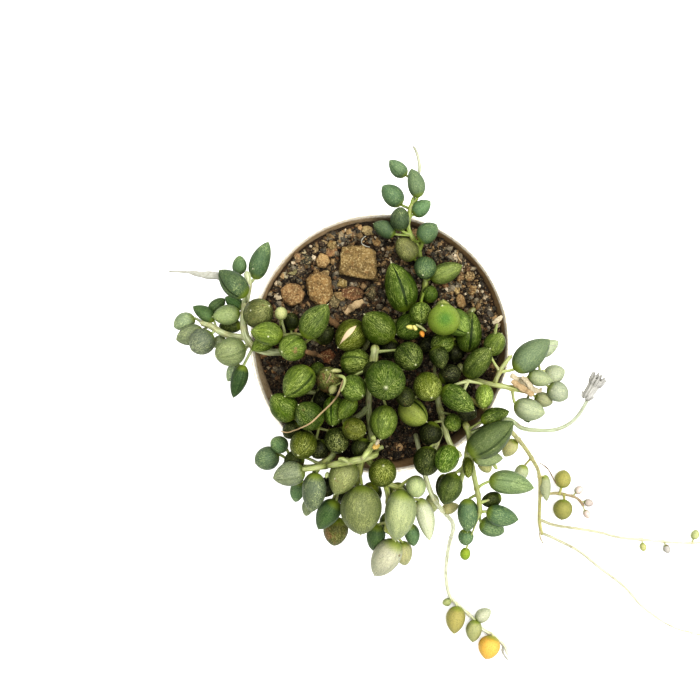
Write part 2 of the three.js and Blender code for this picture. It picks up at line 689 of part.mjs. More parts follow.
    spentFlower: [71, -14.6, 5, 9.5, 62, 20],
  },
  {
    name: "stem_east_upper",
    stems: [
      { radius: 0.9, rooted: true,
        points: [[27, -8], [30, -11.7], [35.5, -13.5], [41.7, -14.5], [46.7, -15.7], [51, -16.5]] },
      { radius: 0.7, points: [[38, -14], [40.5, -8], [44, -4]] },
      { radius: 0.7, points: [[46, -15.5], [51, -12], [55, -9]] },
    ],
    pearls: [
      [53.7, -18, 5, 6.4, 340, 0, 0.64],
      [47.7, -24.5, 5, 7, 280, -10, 0.64],
      [56, -1.7, 5, 8.4, 35, -5, 0.68],
      [57.5, -9, 6.4, 7.6, 20, 0, 0.6],
      [59.3, -14.5, 6.8, 7.6, 330, 0, 0.57],
      [53.5, -11.6, 5.6, 8.4, 345, 10, 0.71],
      [48.8, -4, 9, 15.4, 42, 5, 0.7],
      [49.8, -22, 7.6, 10.6, 345, 10, 0.64],
      [40.3, -0.3, 7, 8.4, 60, 15, 0.57],
      [34, -5.3, 8, 12.8, 52, 20, 0.58],
    ],
  },
  {
    name: "stem_heap_west",
    stems: [
      { radius: 1, rooted: true,
        points: [[-19, -14], [-21.5, -18], [-24, -23], [-24.5, -29], [-21, -33]] },
      { radius: 0.9, points: [[-20.5, -16.5], [-26, -16], [-31, -18]] },
    ],
    pearls: [
      [-19.4, -18.8, 6, 6.6, 80, 0, 0.54],
      [-29.4, -29, 6, 6.6, 220, 0, 0.54],
      [-20.7, -9.7, 6.2, 7, 90, 0, 0.6],
      [-20, -35.4, 6, 7, 230, 0, 0.54],
      [-32.3, -23.2, 9.4, 11, 133, 15, 0.65],
      [-25.7, -34, 9.2, 9.8, 245, 45, 0.54],
      [-14.5, -34.5, 8.2, 9, 300, 30, 0.54],
      [-15.5, -24.3, 7.6, 10.4, 268, 25, 0.57],
      [-24.2, -24, 9.4, 10.6, 135, 20, 0.6],
      [-28.3, -11.5, 9.8, 12.6, 227, 15, 0.68],
      [-17.2, -12.8, 8.6, 9.6, 100, 45, 0.54],
    ],
  },
  {
    name: "stem_heap_east",
    stems: [
      { radius: 1.1, rooted: true,
        points: [[18, -11], [19.3, -19.7], [21, -26], [22.5, -32], [24.5, -35.5], [26.6, -37.5]] },
      { radius: 0.9, points: [[19, -18], [25, -15], [29.5, -12.5]] },
      { radius: 0.9, points: [[21.5, -27.5], [19, -33], [17.5, -38]] },
    ],
    pearls: [
      [24.6, -10.4, 7, 7.6, 30, 0, 0.56],
      [28.4, -24.4, 6, 6.6, 330, 0, 0.56],
      [17.3, -30.7, 7.6, 8, 250, 0, 0.54],
      [15.2, -39.8, 9.2, 10, 260, 20, 0.57],
      [22.3, -38.7, 8.2, 9.8, 245, 15, 0.6],
      [20, -5.3, 6.4, 8, 290, 10, 0.68],
      [33, -16.3, 6.2, 8, 265, 10, 0.57],
      [23, -27.8, 5.8, 6.2, 280, 30, 0.51],
      [26, -18.7, 8.2, 13, 325, 15, 0.71],
      [17.8, -14.5, 9.6, 10.4, 285, 45, 0.57],
      [13, -23.2, 9, 11, 326, 20, 0.61],
    ],
  },
  {
    name: "stem_heap_middle",
    stems: [
      { radius: 1.1, rooted: true,
        points: [[-1.7, -2.3], [-2.3, -7.3], [-4, -19], [-3.3, -29], [-2.3, -33]] },
      { radius: 0.9, points: [[-3.5, -21.5], [-8, -25], [-12, -26]] },
      { radius: 0.9, points: [[-2.2, -8.5], [4, -8], [9, -8.5]] },
    ],
    pearls: [
      [-2.5, -9.5, 6.4, 7, 80, 0, 0.54],
      [10, -17.8, 6.4, 7, 300, 0, 0.54],
      [-8.3, -34.9, 6.8, 7, 260, 0, 0.54],
      [-8.5, -29.2, 7.6, 8.2, 340, 15, 0.57],
      [-11, -23.8, 6, 9, 232, 10, 0.68],
      [10.7, -6, 9.4, 10.4, 310, 50, 0.57],
      [3.2, -26.5, 9.4, 11.8, 258, 20, 0.6],
      [-8.7, -16.8, 8.8, 9.4, 318, 35, 0.56],
      [-15.7, -17.4, 2.8, 3.4, 240, 20, 0.57],
      [3.5, -13.7, 13.4, 13.8, 260, 70, 0.51],
    ],
  },
];

for (const leafy of plant) {
  const laidStems = [];
  for (const stem of leafy.stems) laidStems.push(layStem(stem, leafy.name, laidStems));
  leafy.stems = laidStems;
  leafy.pearls = leafy.pearls.map((row) => layPearl(row, leafy.name));
}

// The spent flower at the end of its stalk: a slender cup that widens to a ragged mouth.
function spentFlowerSolid([planX, planY, width, length, turn, rise], stalk) {
  const foot = stalk.samples[stalk.samples.length - 1];
  const [x, y, scale] = fromAbove(planX, planY, foot.z + 2);
  const direction = directionOf(turn, rise);
  const profile = [[0, 0], [0.28, 0.03], [0.36, 0.3], [0.4, 0.62], [0.5, 0.86], [0.38, 1], [0, 0.93]];
  const points = profile.map(
    ([radius, height]) => new THREE.Vector2(radius * width, height * length * scale),
  );
  const cup = new THREE.LatheGeometry(points, 8);
  cup.applyQuaternion(new THREE.Quaternion().setFromUnitVectors(new THREE.Vector3(0, 1, 0), direction));
  const start = new THREE.Vector3(x, y, foot.z + 2).addScaledVector(direction, -0.5 * length * scale);
  cup.translate(start.x, start.y, start.z);
  const neck = new THREE.LineCurve3(foot, start.clone().addScaledVector(direction, 1.2));
  return solidOf(cup).add(rodSolid(neck, stalk.radius, 5, 1));
}

const leafColour = 0x5c7f45;
const soilHoles = [];
for (const leafy of plant) {
  let solid = null;
  const add = (piece) => {
    solid = solid ? solid.add(piece) : piece;
  };
  for (const stem of leafy.stems) {
    add(rodSolid(stem.curve, stem.radius, stem.radius < 0.85 ? 4 : 5, stem.steps));
    if (stem.rooted) soilHoles.push({ place: stem.samples[0], radius: stem.radius + 0.6 });
  }
  for (const pearl of leafy.pearls) {
    const { curve, steps } = petiole(pearl, leafy.stems, leafy.name);
    add(rodSolid(curve, petioleRadius, 3, steps));
    add(pearlSolid(pearl));
  }
  if (leafy.spentFlower) add(spentFlowerSolid(leafy.spentFlower, leafy.stems[leafy.stems.length - 1]));
  addNode(leafy.name, solid, leafColour, 0.5);
}

// The dry tendril, a thin dead stalk that lies across the pearls of the heap.
const tendrilRadius = 0.6;
const tendril = layStem(
  {
    radius: tendrilRadius + 0.3,
    rooted: false,
    points: [[-12, -11.7], [-13.3, -15.7], [-15, -19], [-20, -23.7], [-23.3, -27], [-28.3, -29],
      [-31, -30], [-33, -29.3]],
  },
  "dry_tendril",
  [],
);
addNode("dry_tendril", rodSolid(tendril.curve, tendrilRadius, 5, tendril.steps), 0xb59a6c, 0.8);

for (const stone of stones) addNode(stone[0], stoneSolid(stone, 0), stone[8], 0.9);

// Soil: it fills the pot, with a rising and falling top, grit on it, holes for the stems and beds for the
// stones.
const innerAt = (height) => {
  const shoulder = lipBottom - 3;
  const share = Math.min(1, (height - floorThickness - 1.5) / (shoulder - floorThickness - 1.5));
  const wall = footRadius - wallThickness + (shoulderRadius - footRadius) * share;
  const above = Math.max(0, (height - shoulder) / (lipBottom + 4 - shoulder));
  return wall + above * (rimInnerRadius - 0.9 - (shoulderRadius - wallThickness)) - soilGap;
};
const soilProfile = [
  [0, floorThickness + 0.3],
  [footRadius - wallThickness - 1.9, floorThickness + 0.3],
  [innerAt(floorThickness + 1.5), floorThickness + 2],
  [innerAt(lipBottom - 3), lipBottom - 3],
  [innerAt(soilLevel), soilLevel],
];
for (const share of [0.94, 0.84, 0.74, 0.58, 0.38, 0.18, 0]) {
  soilProfile.push([share * innerAt(soilLevel), soilLevel]);
}
const soilGeometry = latheUp(soilProfile, soilSides);
const soilPlace = soilGeometry.attributes.position;
for (let i = 0; i < soilPlace.count; i++) {
  const [x, y, z] = [soilPlace.getX(i), soilPlace.getY(i), soilPlace.getZ(i)];
  const onTop = z > soilLevel - 0.01;
  const atEdge = Math.hypot(x, y) > 0.97 * innerAt(soilLevel);
  if (!onTop) continue;
  const top = atEdge ? soilLevel - 0.4 + soilBank(x, y) : soilTop(x, y) + soilBank(x, y);
  const out = atEdge ? innerAt(top) / innerAt(soilLevel) : 1;
  soilPlace.setXYZ(i, out * x, out * y, top);
}
let soilSolid = solidOf(soilGeometry);
const random = seeded(4021);
for (let i = 0; i < gritCount; i++) {
  const reach = 38 * Math.sqrt(random());
  const angle = 2 * Math.PI * random();
  const size = 0.8 + 0.7 * random();
  const [x, y] = [reach * Math.cos(angle), reach * Math.sin(angle)];
  const nearStone = stones.some((stone) => Math.hypot(x - stone[1], y - stone[2]) < 0.8 * stone[4] + 2);
  const nearHole = soilHoles.some(({ place }) => Math.hypot(x - place.x, y - place.y) < 4);
  if (nearStone || nearHole) continue;
  const grain = new THREE.IcosahedronGeometry(size, 0);
  grain.scale(1.2, 0.9, 0.6);
  grain.rotateZ(6 * random());
  grain.translate(x, y, soilTop(x, y) + soilBank(x, y) - 0.15);
  soilSolid = soilSolid.add(solidOf(grain));
}
for (const stone of stones) soilSolid = soilSolid.subtract(stoneSolid(stone, 0.3));
for (const { place, radius } of soilHoles) {
  const hole = new THREE.CylinderGeometry(radius, radius, 16, 8);
  hole.rotateX(Math.PI / 2);
  hole.translate(place.x, place.y, place.z + 8 - 0.4);
  soilSolid = soilSolid.subtract(solidOf(hole));
}
addNode("soil", soilSolid, 0x3b3029, 0.95);

export default part;
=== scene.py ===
import math
import bpy
import numpy as np
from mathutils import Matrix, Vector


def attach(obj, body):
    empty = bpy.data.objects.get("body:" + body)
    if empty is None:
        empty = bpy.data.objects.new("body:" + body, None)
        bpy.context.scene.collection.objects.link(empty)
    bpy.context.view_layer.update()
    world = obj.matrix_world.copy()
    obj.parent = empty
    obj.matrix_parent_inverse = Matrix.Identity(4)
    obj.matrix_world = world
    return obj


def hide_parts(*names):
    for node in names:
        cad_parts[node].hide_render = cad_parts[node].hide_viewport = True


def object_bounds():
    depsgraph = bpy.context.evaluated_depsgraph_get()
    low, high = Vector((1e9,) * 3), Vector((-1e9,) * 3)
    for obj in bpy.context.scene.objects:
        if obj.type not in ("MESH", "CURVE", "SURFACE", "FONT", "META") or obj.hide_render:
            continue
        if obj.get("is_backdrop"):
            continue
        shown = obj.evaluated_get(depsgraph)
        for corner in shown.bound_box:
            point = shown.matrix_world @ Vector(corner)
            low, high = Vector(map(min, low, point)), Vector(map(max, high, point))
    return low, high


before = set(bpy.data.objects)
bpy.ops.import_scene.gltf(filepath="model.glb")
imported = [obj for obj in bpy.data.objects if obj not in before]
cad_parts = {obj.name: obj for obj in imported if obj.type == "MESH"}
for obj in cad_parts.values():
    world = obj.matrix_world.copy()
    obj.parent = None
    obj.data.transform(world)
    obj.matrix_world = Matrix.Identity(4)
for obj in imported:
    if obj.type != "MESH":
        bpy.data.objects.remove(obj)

# A string of pearls plant in a small clay pot.
# Shapes are worked out in millimetres, +Z up, and put into the meshes in metres.
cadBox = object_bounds()
metre = 0.001

potSizes = {
    "height": 76, "rimRadius": 43.5, "rimInnerRadius": 42.5, "footRadius": 31, "wall": 2.5, "lipDepth": 9,
    "floor": 4, "drainHole": 1.8, "drainHoles": 5, "drainRing": 18, "sides": 168,
}
soilSizes = {"level": 68, "gap": 0.35, "bank": 3.2}

# The plant's places are given as they look from straight above, in millimetres at the height of the rim.
viewing = {"x": -10, "y": -2.3, "aboveRim": 400, "viewWidth": 700 / 3}

layRules = {
    "stemClearance": 0.48, "petioleRadius": 0.6, "bendCost": 5, "holeDepth": 5, "stemStep": 4.6,
    "sinkTogether": 1, "settleReach": 1.9, "shiftCost": 0.7, "clashCost": 40, "grit": 0.8, "stoneMargin": 1.2,
    "overStone": 0.2, "rimTubeRadius": 42.4, "rimTubeHeight": 74.9, "rimTubeSize": 1.5,
}

# Stones lying in the soil: name, place, width, length, turn in degrees, height above the soil, tint
stones = [
    ("stone_large", -7.3, 27, 13.6, 13.4, 4, 3.4, (0.205, 0.146, 0.058)),
    ("stone_west", -20.3, 18.6, 9.4, 12.8, 8, 3.2, (0.236, 0.155, 0.062)),
    ("stone_far_west", -29.6, 16.6, 8.4, 8.8, 30, 2.8, (0.248, 0.158, 0.072)),
    ("stone_red", -9.2, 16.8, 8.6, 5.2, -4, 2.2, (0.149, 0.077, 0.035)),
    ("stone_pale", -19.2, 28, 5.2, 5.4, 20, 2.0, (0.291, 0.198, 0.090)),
    ("stone_small_west", -16, 33.2, 3.8, 3.8, 10, 1.6, (0.186, 0.136, 0.055)),
    ("stone_north", -4, 38, 4.8, 3.6, -15, 1.6, (0.285, 0.229, 0.115)),
    ("stone_chip", -17.6, -4.4, 6.0, 5.6, 40, 0.9, (0.167, 0.071, 0.028)),
    ("stone_east", 27.6, 14.2, 3.6, 6.0, 12, 1.8, (0.223, 0.149, 0.065)),
    ("stone_far_east", 30.4, 22.6, 4.0, 3.8, 25, 1.6, (0.167, 0.118, 0.055)),
]

# Each leafy stem holds its stems and then its pearls.
# Stem: radius, whether it is rooted in the soil, then its points x, y and, where it hangs free, z.
# Pearl: x, y, width, length, direction of the tip and its rise in degrees, sharpness, the height on
# hanging strands, and its look.
plant = [
    {"name": "strand_east", "stems": [
        (0.8, True, [[27, -17, 70], [33, -20.5, 75], [37.5, -24, 79], [42, -28, 77], [44.3, -30, 70],
         [48.3, -34.7, 52], [51, -39, 36], [53.3, -43.3, 20], [53.3, -52.3, 6], [53, -59, 1.1],
         [54, -64, 1.1]]),
        (0.7, False, [[53, -58.5, 1.1], [57.3, -60.7, 1.1], [65, -61.7, 1.1], [73.3, -63, 1.1], [80, -65, 1.1],
         [90, -65.7, 1.1], [100, -66.7, 1.1], [108, -66.5, 1.1]]),
        (0.7, False, [[53.7, -63, 1.1], [60, -66, 1.1], [66.7, -69.3, 1.1], [73.3, -75, 1.1], [81.7, -81, 1.1],
         [86.7, -87.3, 1.1], [93.3, -92.3, 1.1], [100, -95.7, 1.1], [108, -97.5, 1.1]]),
        (0.7, False, [[53.3, -51, 7.2], [57, -50, 3.2], [61, -50.2, 1.4], [66, -51.5, 1.4], [68, -54.5, 1.4]]),
    ], "pearls": [
        (43.3, -35, 5, 7, 240, -20, 0.68, 58, "youngLeaf"),
        (47, -43.5, 4.6, 6.5, 250, -20, 0.68, 36, "paleLeaf"),
        (55.3, -48.3, 3.6, 9, 275, -10, 0.71, 14, "paleLeaf"),
        (61, -45.3, 5.6, 6, 80, 5, 0.57, 3.6, "limeLeaf"), (61, -55.5, 6.4, 6.8, 260, 5, 0.57, 4, "limeLeaf"),
        (66.4, -49, 2.6, 3.2, 40, 10, 0.57, 2, "pinkBud"), (69.6, -53.2, 2.6, 3.2, 350, 10, 0.57, 2, "pinkBud"),
        (69, -57, 2.4, 3, 300, 10, 0.57, 1.9, "pinkBud"), (87.7, -68, 2.2, 2.8, 280, 5, 0.57, 1.8, "youngLeaf"),
        (95.7, -68.6, 2.4, 3, 290, 5, 0.57, 1.8, "dryBud"),
        (105, -63.8, 2.7, 3.4, 70, 5, 0.57, 1.9, "youngLeaf"),
    ]},
    {"name": "strand_south", "stems": [
        (0.8, True, [[12, -31, 70], [13.4, -37, 76], [14.5, -42, 79], [16, -47.5, 77], [18.5, -53.3, 68],
         [22, -57, 56], [25, -60.7, 42], [22.8, -67.3, 22], [21.7, -77.3, 6], [23, -84.7, 1.2],
         [26.7, -87.7, 1.1], [30, -90.7, 1.1], [33.3, -95, 1.1], [39, -98, 1.1], [41.7, -100.7, 1.1],
         [42.7, -104, 1.1]]),
    ], "pearls": [
        (17.2, -53.6, 4.6, 7.6, 265, -25, 0.68, 64, "youngLeaf"),
        (23.4, -55, 4, 6, 20, 0, 0.68, 58, "youngLeaf"), (22.3, -86.3, 2.6, 3, 200, 10, 0.57, 1.9, "youngLeaf"),
        (25.3, -92.3, 6.4, 9.2, 262, 0, 0.71, 3.9, "limeLeaf"),
        (31.4, -96, 5.2, 7.4, 262, 0, 0.71, 3.2, "youngLeaf"),
        (34.5, -90.7, 4.4, 6, 40, 5, 0.64, 2.9, "hazyLeaf"),
        (36.5, -101.5, 7.2, 8, 250, 0, 0.64, 4.4, "yellowLeaf"),
    ]},
    {"name": "stem_south", "stems": [
        (1, True, [[-2.5, -29, 70], [-4, -33, 75], [-5.5, -37.5], [-7, -43], [-8, -50], [-7, -56]]),
        (0.9, False, [[-5.5, -37.5], [-1, -42], [2.5, -48], [3, -56], [2, -63]]),
        (0.9, False, [[-6, -40], [-12, -44.5], [-15, -51], [-16.5, -57]]),
        (0.8, False, [[2.2, -46.5], [8, -49], [12, -55]]),
    ], "pearls": [
        (-3, -50, 7, 8, 265, -50, 0.57, 56, "deep"), (-12, -50, 7, 8, 240, -45, 0.57, 57, "deep"),
        (6, -50, 7, 8, 285, -50, 0.57, 55, "deep"), (-7, -58, 7.5, 9, 260, -40, 0.6, 50, "deep"),
        (3.5, -60, 7, 9, 275, -45, 0.6, 48, "mid"), (-1.7, -64.7, 6.5, 10, 262, -20, 0.74, "shaded"),
        (10.7, -64, 5, 8, 280, -15, 0.71, "blueGreen"), (8, -68.3, 6.3, 8.6, 275, -15, 0.68, "lightGreen"),
        (0.5, -70.5, 9.6, 15, 240, -18, 0.71, "hazyLeaf"),
        (-14.7, -61.7, 8.2, 10, 262, -15, 0.64, "brownGreen"), (-17.7, -47.3, 6.6, 8, 200, 0, 0.57, "deep"),
        (-17.5, -57.3, 7.8, 12, 238, -15, 0.74, "shaded"), (13.3, -59.3, 6, 15, 283, -8, 0.74, "hazyLeaf"),
        (6.5, -56.7, 10.8, 17.6, 262, -8, 0.71, "lightGreen"), (-6.2, -55.5, 13.8, 16.4, 268, 5, 0.58, "sage"),
        (1, -43, 9.4, 10.4, 90, 60, 0.54, "olive"), (11.2, -48.7, 6.8, 7.4, 280, 10, 0.57, "lightGreen"),
        (-11.3, -45.7, 9.6, 12.3, 241, 10, 0.68, "sage"),
    ]},
    {"name": "stem_south_west", "stems": [
        (1, True, [[-13, -29, 70], [-14.5, -33, 75], [-15.5, -37.5], [-20, -41], [-25.3, -41.7], [-30, -40]]),
        (0.8, False, [[-20, -41], [-23, -45], [-25, -50]]),
    ], "pearls": [
        (-24.3, -55, 4, 6, 262, -20, 0.74, "greyGreen"), (-27, -49, 5, 8, 258, -20, 0.68, "blueGreen"),
        (-30, -42, 6, 7, 220, -40, 0.57, 60, "deep"), (-27.7, -38, 6.4, 7, 200, 0, 0.57, "deep"),
        (-37.7, -38.3, 8, 8.4, 205, 10, 0.54, "blueGreen"),
        (-32.3, -33.8, 5.8, 6.2, 150, 20, 0.54, "blueGreen"),
        (-22.2, -49.7, 8.2, 13.3, 265, -5, 0.68, "greyGreen"),
        (-30.3, -43.2, 8.2, 10.8, 192, 5, 0.68, "greyGreen"),
    ]},
    {"name": "stem_west", "stems": [
        (0.9, True, [[-27, -3], [-33, -3], [-38.3, -3], [-43, -1], [-45.7, 4.3], [-45, 13], [-43.7, 20],
         [-44.5, 24]]),
        (0.8, False, [[-45.5, 1.7], [-51.7, 2.7], [-56.7, 6], [-60, 7]]),
        (0.7, False, [[-44, 18, 82], [-52.7, 21, 83], [-58.3, 23.7, 84], [-63.3, 23.7, 84.5], [-70.3, 24, 84]]),
    ], "pearls": [
        (-47, 13.7, 4.4, 7.4, 150, -10, 0.64, "shaded"), (-49.3, 5.7, 5, 7.7, 180, -10, 0.6, "deep"),
        (-54.3, 12.7, 4.6, 6.6, 40, 0, 0.68, "shaded"), (-58.3, 10.3, 5, 8.6, 147, 0, 0.74, "shaded"),
        (-49, -9.7, 4.5, 7.2, 240, -10, 0.74, "greyGreen"), (-53.7, 0.3, 4, 5, 220, 0, 0.64, "greyGreen"),
        (-64, 7, 6, 7.6, 205, 0, 0.6, "greyGreen"), (-63.3, 4, 6.8, 9.4, 201, 10, 0.64, "greyGreen"),
        (-45.3, -12.7, 5.6, 11.6, 252, -10, 0.74, "shaded"), (-50.3, 10.3, 6.7, 9.2, 188, 10, 0.64, "paleSage"),
        (-46.3, 26, 5, 6.4, 85, 15, 0.64, "blueGreen"), (-49, 20, 8, 12.4, 137, 5, 0.71, "blueGreen"),
        (-39.7, 25.7, 6.8, 13.4, 69, 10, 0.71, "blueGreen"), (-40.7, 10, 9.8, 10.6, 30, 30, 0.51, "oliveSage"),
        (-59.3, 1, 8.6, 9, 222, 15, 0.54, "greyGreen"), (-48, -2.7, 9.6, 10.6, 200, 20, 0.54, "paleSage"),
    ]},
    {"name": "stem_west_inner", "stems": [
        (0.9, True, [[-19.5, 1.5], [-25, 2.5], [-30, 2.8], [-35, 2]]),
        (0.6, False, [[-31.5, 2.8], [-32.5, 6], [-33, 9]]),
    ], "pearls": [
        (-18.3, 2.7, 6, 7, 40, 10, 0.6, "deep"), (-29.7, 7.2, 5.2, 6, 90, 10, 0.54, "deep"),
        (-33, 9.6, 4.2, 4.6, 90, 40, 0.54, "youngLeaf"), (-39, 0, 5.8, 9, 212, 5, 0.74, "fresh"),
        (-37.7, 3.6, 7.8, 10.8, 170, 10, 0.68, "fresh"), (-30, -0.3, 9, 9.2, 200, 40, 0.54, "fresh"),
        (-22.7, 6, 9, 13.6, 54, 10, 0.71, "fresh"),
    ]},
    {"name": "stem_heap_north", "stems": [
        (1, True, [[1, 9.5], [-3, 2], [-5.5, -2.5]]),
        (0.9, False, [[0.5, 8.5], [4.5, 6.5], [7.5, 8]]),
    ], "pearls": [
        (3.2, -1.8, 6.4, 7, 250, 0, 0.54, "deep"), (-8, -6.5, 9.6, 10.6, 5, 25, 0.57, "fresh"),
        (8, 4.3, 9, 10.2, 215, 20, 0.58, "mid"), (-9.8, 0.5, 10.2, 12, 223, 20, 0.61, "olive"),
        (-1.3, 5.3, 10.8, 12.8, 137, 15, 0.64, "mid"), (6.3, 16.7, 10.8, 17, 108, 10, 0.71, "mid"),
    ]},
    {"name": "stem_north", "stems": [
        (0.9, True, [[14, 14.3], [15.3, 20], [15, 24.3], [13.3, 28.3], [13, 31.7], [10.7, 35.3], [9, 39],
         [10, 44], [11.5, 49]]),
        (0.7, False, [[13.2, 30.5], [14.2, 34], [15.6, 36.5]]),
        (0.6, False, [[11.8, 50], [13.3, 57.7], [13, 61], [12, 64.3], [11, 65.7]]),
    ], "pearls": [
        (16, 16.3, 5.4, 6, 80, 0, 0.57, "mid"), (12.3, 11.3, 7.4, 7.6, 270, 20, 0.51, "mid"),
        (22, 23.7, 7, 11.4, 22, 10, 0.68, "mid"), (15, 24.3, 7.4, 8.4, 250, 50, 0.54, "blueGreen"),
        (7.7, 30.3, 7.4, 9, 127, 15, 0.61, "oliveSage"), (16, 36.7, 6.8, 8, 45, 10, 0.6, "teal"),
        (2.7, 39.3, 5.8, 8, 153, 5, 0.68, "teal"), (12.7, 45, 5.4, 7.2, 39, 10, 0.68, "teal"),
        (4, 47.3, 6.8, 9, 135, 10, 0.64, "teal"), (7.7, 42.3, 6.6, 8.2, 90, 25, 0.61, "blueGreen"),
        (11.7, 53.3, 6, 9.8, 105, 5, 0.68, "teal"), (7.3, 57, 5.2, 7.6, 138, 5, 0.71, "teal"),
    ]},
    {"name": "stem_lime", "stems": [
        (0.9, True, [[31, 11], [27, 8.5], [22.5, 4.5], [19.5, 1]]),
        (0.7, False, [[27, 8.5], [29.5, 3], [29.5, -2]]),
    ], "pearls": [
        (14.6, 1, 6, 6.6, 200, 0, 0.54, "deep"), (25, -3.2, 6, 6.6, 270, 0, 0.54, "deep"),
        (20.7, 0, 7.4, 8, 200, 10, 0.57, "mid"), (29.3, 3.7, 8.8, 14, 85, 15, 0.7, "mid"),
        (19.7, 12.7, 5.8, 6.4, 90, 10, 0.57, "mid"), (26.7, 6.8, 8.8, 10.6, 318, 20, 0.6, "fresh"),
        (20, 8, 10.6, 11, 100, 35, 0.54, "limeLeaf"),
    ]},
    {"name": "stem_east_lower", "stems": [
        (1, True, [[27, -24, 70], [29, -28, 75], [30, -32], [29.3, -36], [28, -42], [26, -49]]),
        (0.9, False, [[29.4, -35.5], [31.5, -45], [33, -52], [33.5, -57]]),
        (0.8, False, [[29.6, -34.5], [35, -36.5], [39, -42]]),
        (0.8, False, [[30, -30.5], [36, -27.5], [42, -25], [44.7, -26.3], [47.3, -28.7], [55, -29.3],
         [60, -28.7], [65, -25.7], [68.3, -20.7], [69.6, -18]]),
    ], "pearls": [
        (20.3, -47.3, 4, 8.6, 262, -10, 0.64, "deep"), (35, -40.5, 4.6, 6, 300, 0, 0.57, "youngLeaf"),
        (28.5, -64.7, 5.2, 5.6, 270, -10, 0.57, "blueGreen"),
        (28.5, -69.8, 3.6, 5.2, 270, -40, 0.71, "limeLeaf"), (36.3, -51.3, 5.2, 7, 200, 0, 0.57, "deep"),
        (37.3, -61.5, 7, 8.8, 340, -5, 0.65, "blueGreen"), (39.5, -56.2, 7.2, 11, 345, 0, 0.71, "blueGreen"),
        (29.2, -57.3, 7, 11.2, 270, -5, 0.64, "blueGreen"), (36, -37.8, 5.4, 10, 0, -5, 0.68, "paleSage"),
        (25, -48.5, 8, 11, 250, 5, 0.64, "deep"), (42.5, -45.7, 8.2, 15.2, 350, 0, 0.74, "blueGreen"),
        (29.3, -41.5, 3.6, 7, 270, 20, 0.57, "olive"), (38.3, -24.5, 5.6, 10, 20, 0, 0.68, "mid"),
        (37, -29.7, 10.2, 18.4, 36, 5, 0.74, "greyGreen"),
    ], "spentFlower": (71, -14.6, 5, 9.5, 62, 20)},
    {"name": "stem_east_upper", "stems": [
        (0.9, True, [[27, -8], [30, -11.7], [35.5, -13.5], [41.7, -14.5], [46.7, -15.7], [51, -16.5]]),
        (0.7, False, [[38, -14], [40.5, -8], [44, -4]]),
        (0.7, False, [[46, -15.5], [51, -12], [55, -9]]),
    ], "pearls": [
        (53.7, -18, 5, 6.4, 340, 0, 0.64, "paleLeaf"), (47.7, -24.5, 5, 7, 280, -10, 0.64, "shaded"),
        (56, -1.7, 5, 8.4, 35, -5, 0.68, "hazyLeaf"), (57.5, -9, 6.4, 7.6, 20, 0, 0.6, "hazyLeaf"),
        (59.3, -14.5, 6.8, 7.6, 330, 0, 0.57, "hazyLeaf"), (53.5, -11.6, 5.6, 8.4, 345, 10, 0.71, "paleLeaf"),
        (48.8, -4, 9, 15.4, 42, 5, 0.7, "paleTeal"), (49.8, -22, 7.6, 10.6, 345, 10, 0.64, "hazyLeaf"),
        (40.3, -0.3, 7, 8.4, 60, 15, 0.57, "fresh"), (34, -5.3, 8, 12.8, 52, 20, 0.58, "fresh"),
    ]},
    {"name": "stem_heap_west", "stems": [
        (1, True, [[-19, -14], [-21.5, -18], [-24, -23], [-24.5, -29], [-21, -33]]),
        (0.9, False, [[-20.5, -16.5], [-26, -16], [-31, -18]]),
    ], "pearls": [
        (-19.4, -18.8, 6, 6.6, 80, 0, 0.54, "deep"), (-29.4, -29, 6, 6.6, 220, 0, 0.54, "deep"),
        (-20.7, -9.7, 6.2, 7, 90, 0, 0.6, "mid"), (-20, -35.4, 6, 7, 230, 0, 0.54, "deep"),
        (-32.3, -23.2, 9.4, 11, 133, 15, 0.65, "mid"), (-25.7, -34, 9.2, 9.8, 245, 45, 0.54, "olive"),
        (-14.5, -34.5, 8.2, 9, 300, 30, 0.54, "deep"), (-15.5, -24.3, 7.6, 10.4, 268, 25, 0.57, "mid"),
        (-24.2, -24, 9.4, 10.6, 135, 20, 0.6, "mid"), (-28.3, -11.5, 9.8, 12.6, 227, 15, 0.68, "fresh"),
        (-17.2, -12.8, 8.6, 9.6, 100, 45, 0.54, "brownGreen"),
    ]},
    {"name": "stem_heap_east", "stems": [
        (1.1, True, [[18, -11], [19.3, -19.7], [21, -26], [22.5, -32], [24.5, -35.5], [26.6, -37.5]]),
        (0.9, False, [[19, -18], [25, -15], [29.5, -12.5]]),
        (0.9, False, [[21.5, -27.5], [19, -33], [17.5, -38]]),
    ], "pearls": [
        (24.6, -10.4, 7, 7.6, 30, 0, 0.56, "deep"), (28.4, -24.4, 6, 6.6, 330, 0, 0.56, "deep"),
        (17.3, -30.7, 7.6, 8, 250, 0, 0.54, "deep"), (15.2, -39.8, 9.2, 10, 260, 20, 0.57, "mid"),
        (22.3, -38.7, 8.2, 9.8, 245, 15, 0.6, "mid"), (20, -5.3, 6.4, 8, 290, 10, 0.68, "mid"),
        (33, -16.3, 6.2, 8, 265, 10, 0.57, "fresh"), (23, -27.8, 5.8, 6.2, 280, 30, 0.51, "mid"),
        (26, -18.7, 8.2, 13, 325, 15, 0.71, "mid"), (17.8, -14.5, 9.6, 10.4, 285, 45, 0.57, "olive"),
        (13, -23.2, 9, 11, 326, 20, 0.61, "lightGreen"),
    ]},
    {"name": "stem_heap_middle", "stems": [
        (1.1, True, [[-1.7, -2.3], [-2.3, -7.3], [-4, -19], [-3.3, -29], [-2.3, -33]]),
        (0.9, False, [[-3.5, -21.5], [-8, -25], [-12, -26]]),
        (0.9, False, [[-2.2, -8.5], [4, -8], [9, -8.5]]),
    ], "pearls": [
        (-2.5, -9.5, 6.4, 7, 80, 0, 0.54, "deep"), (10, -17.8, 6.4, 7, 300, 0, 0.54, "deep"),
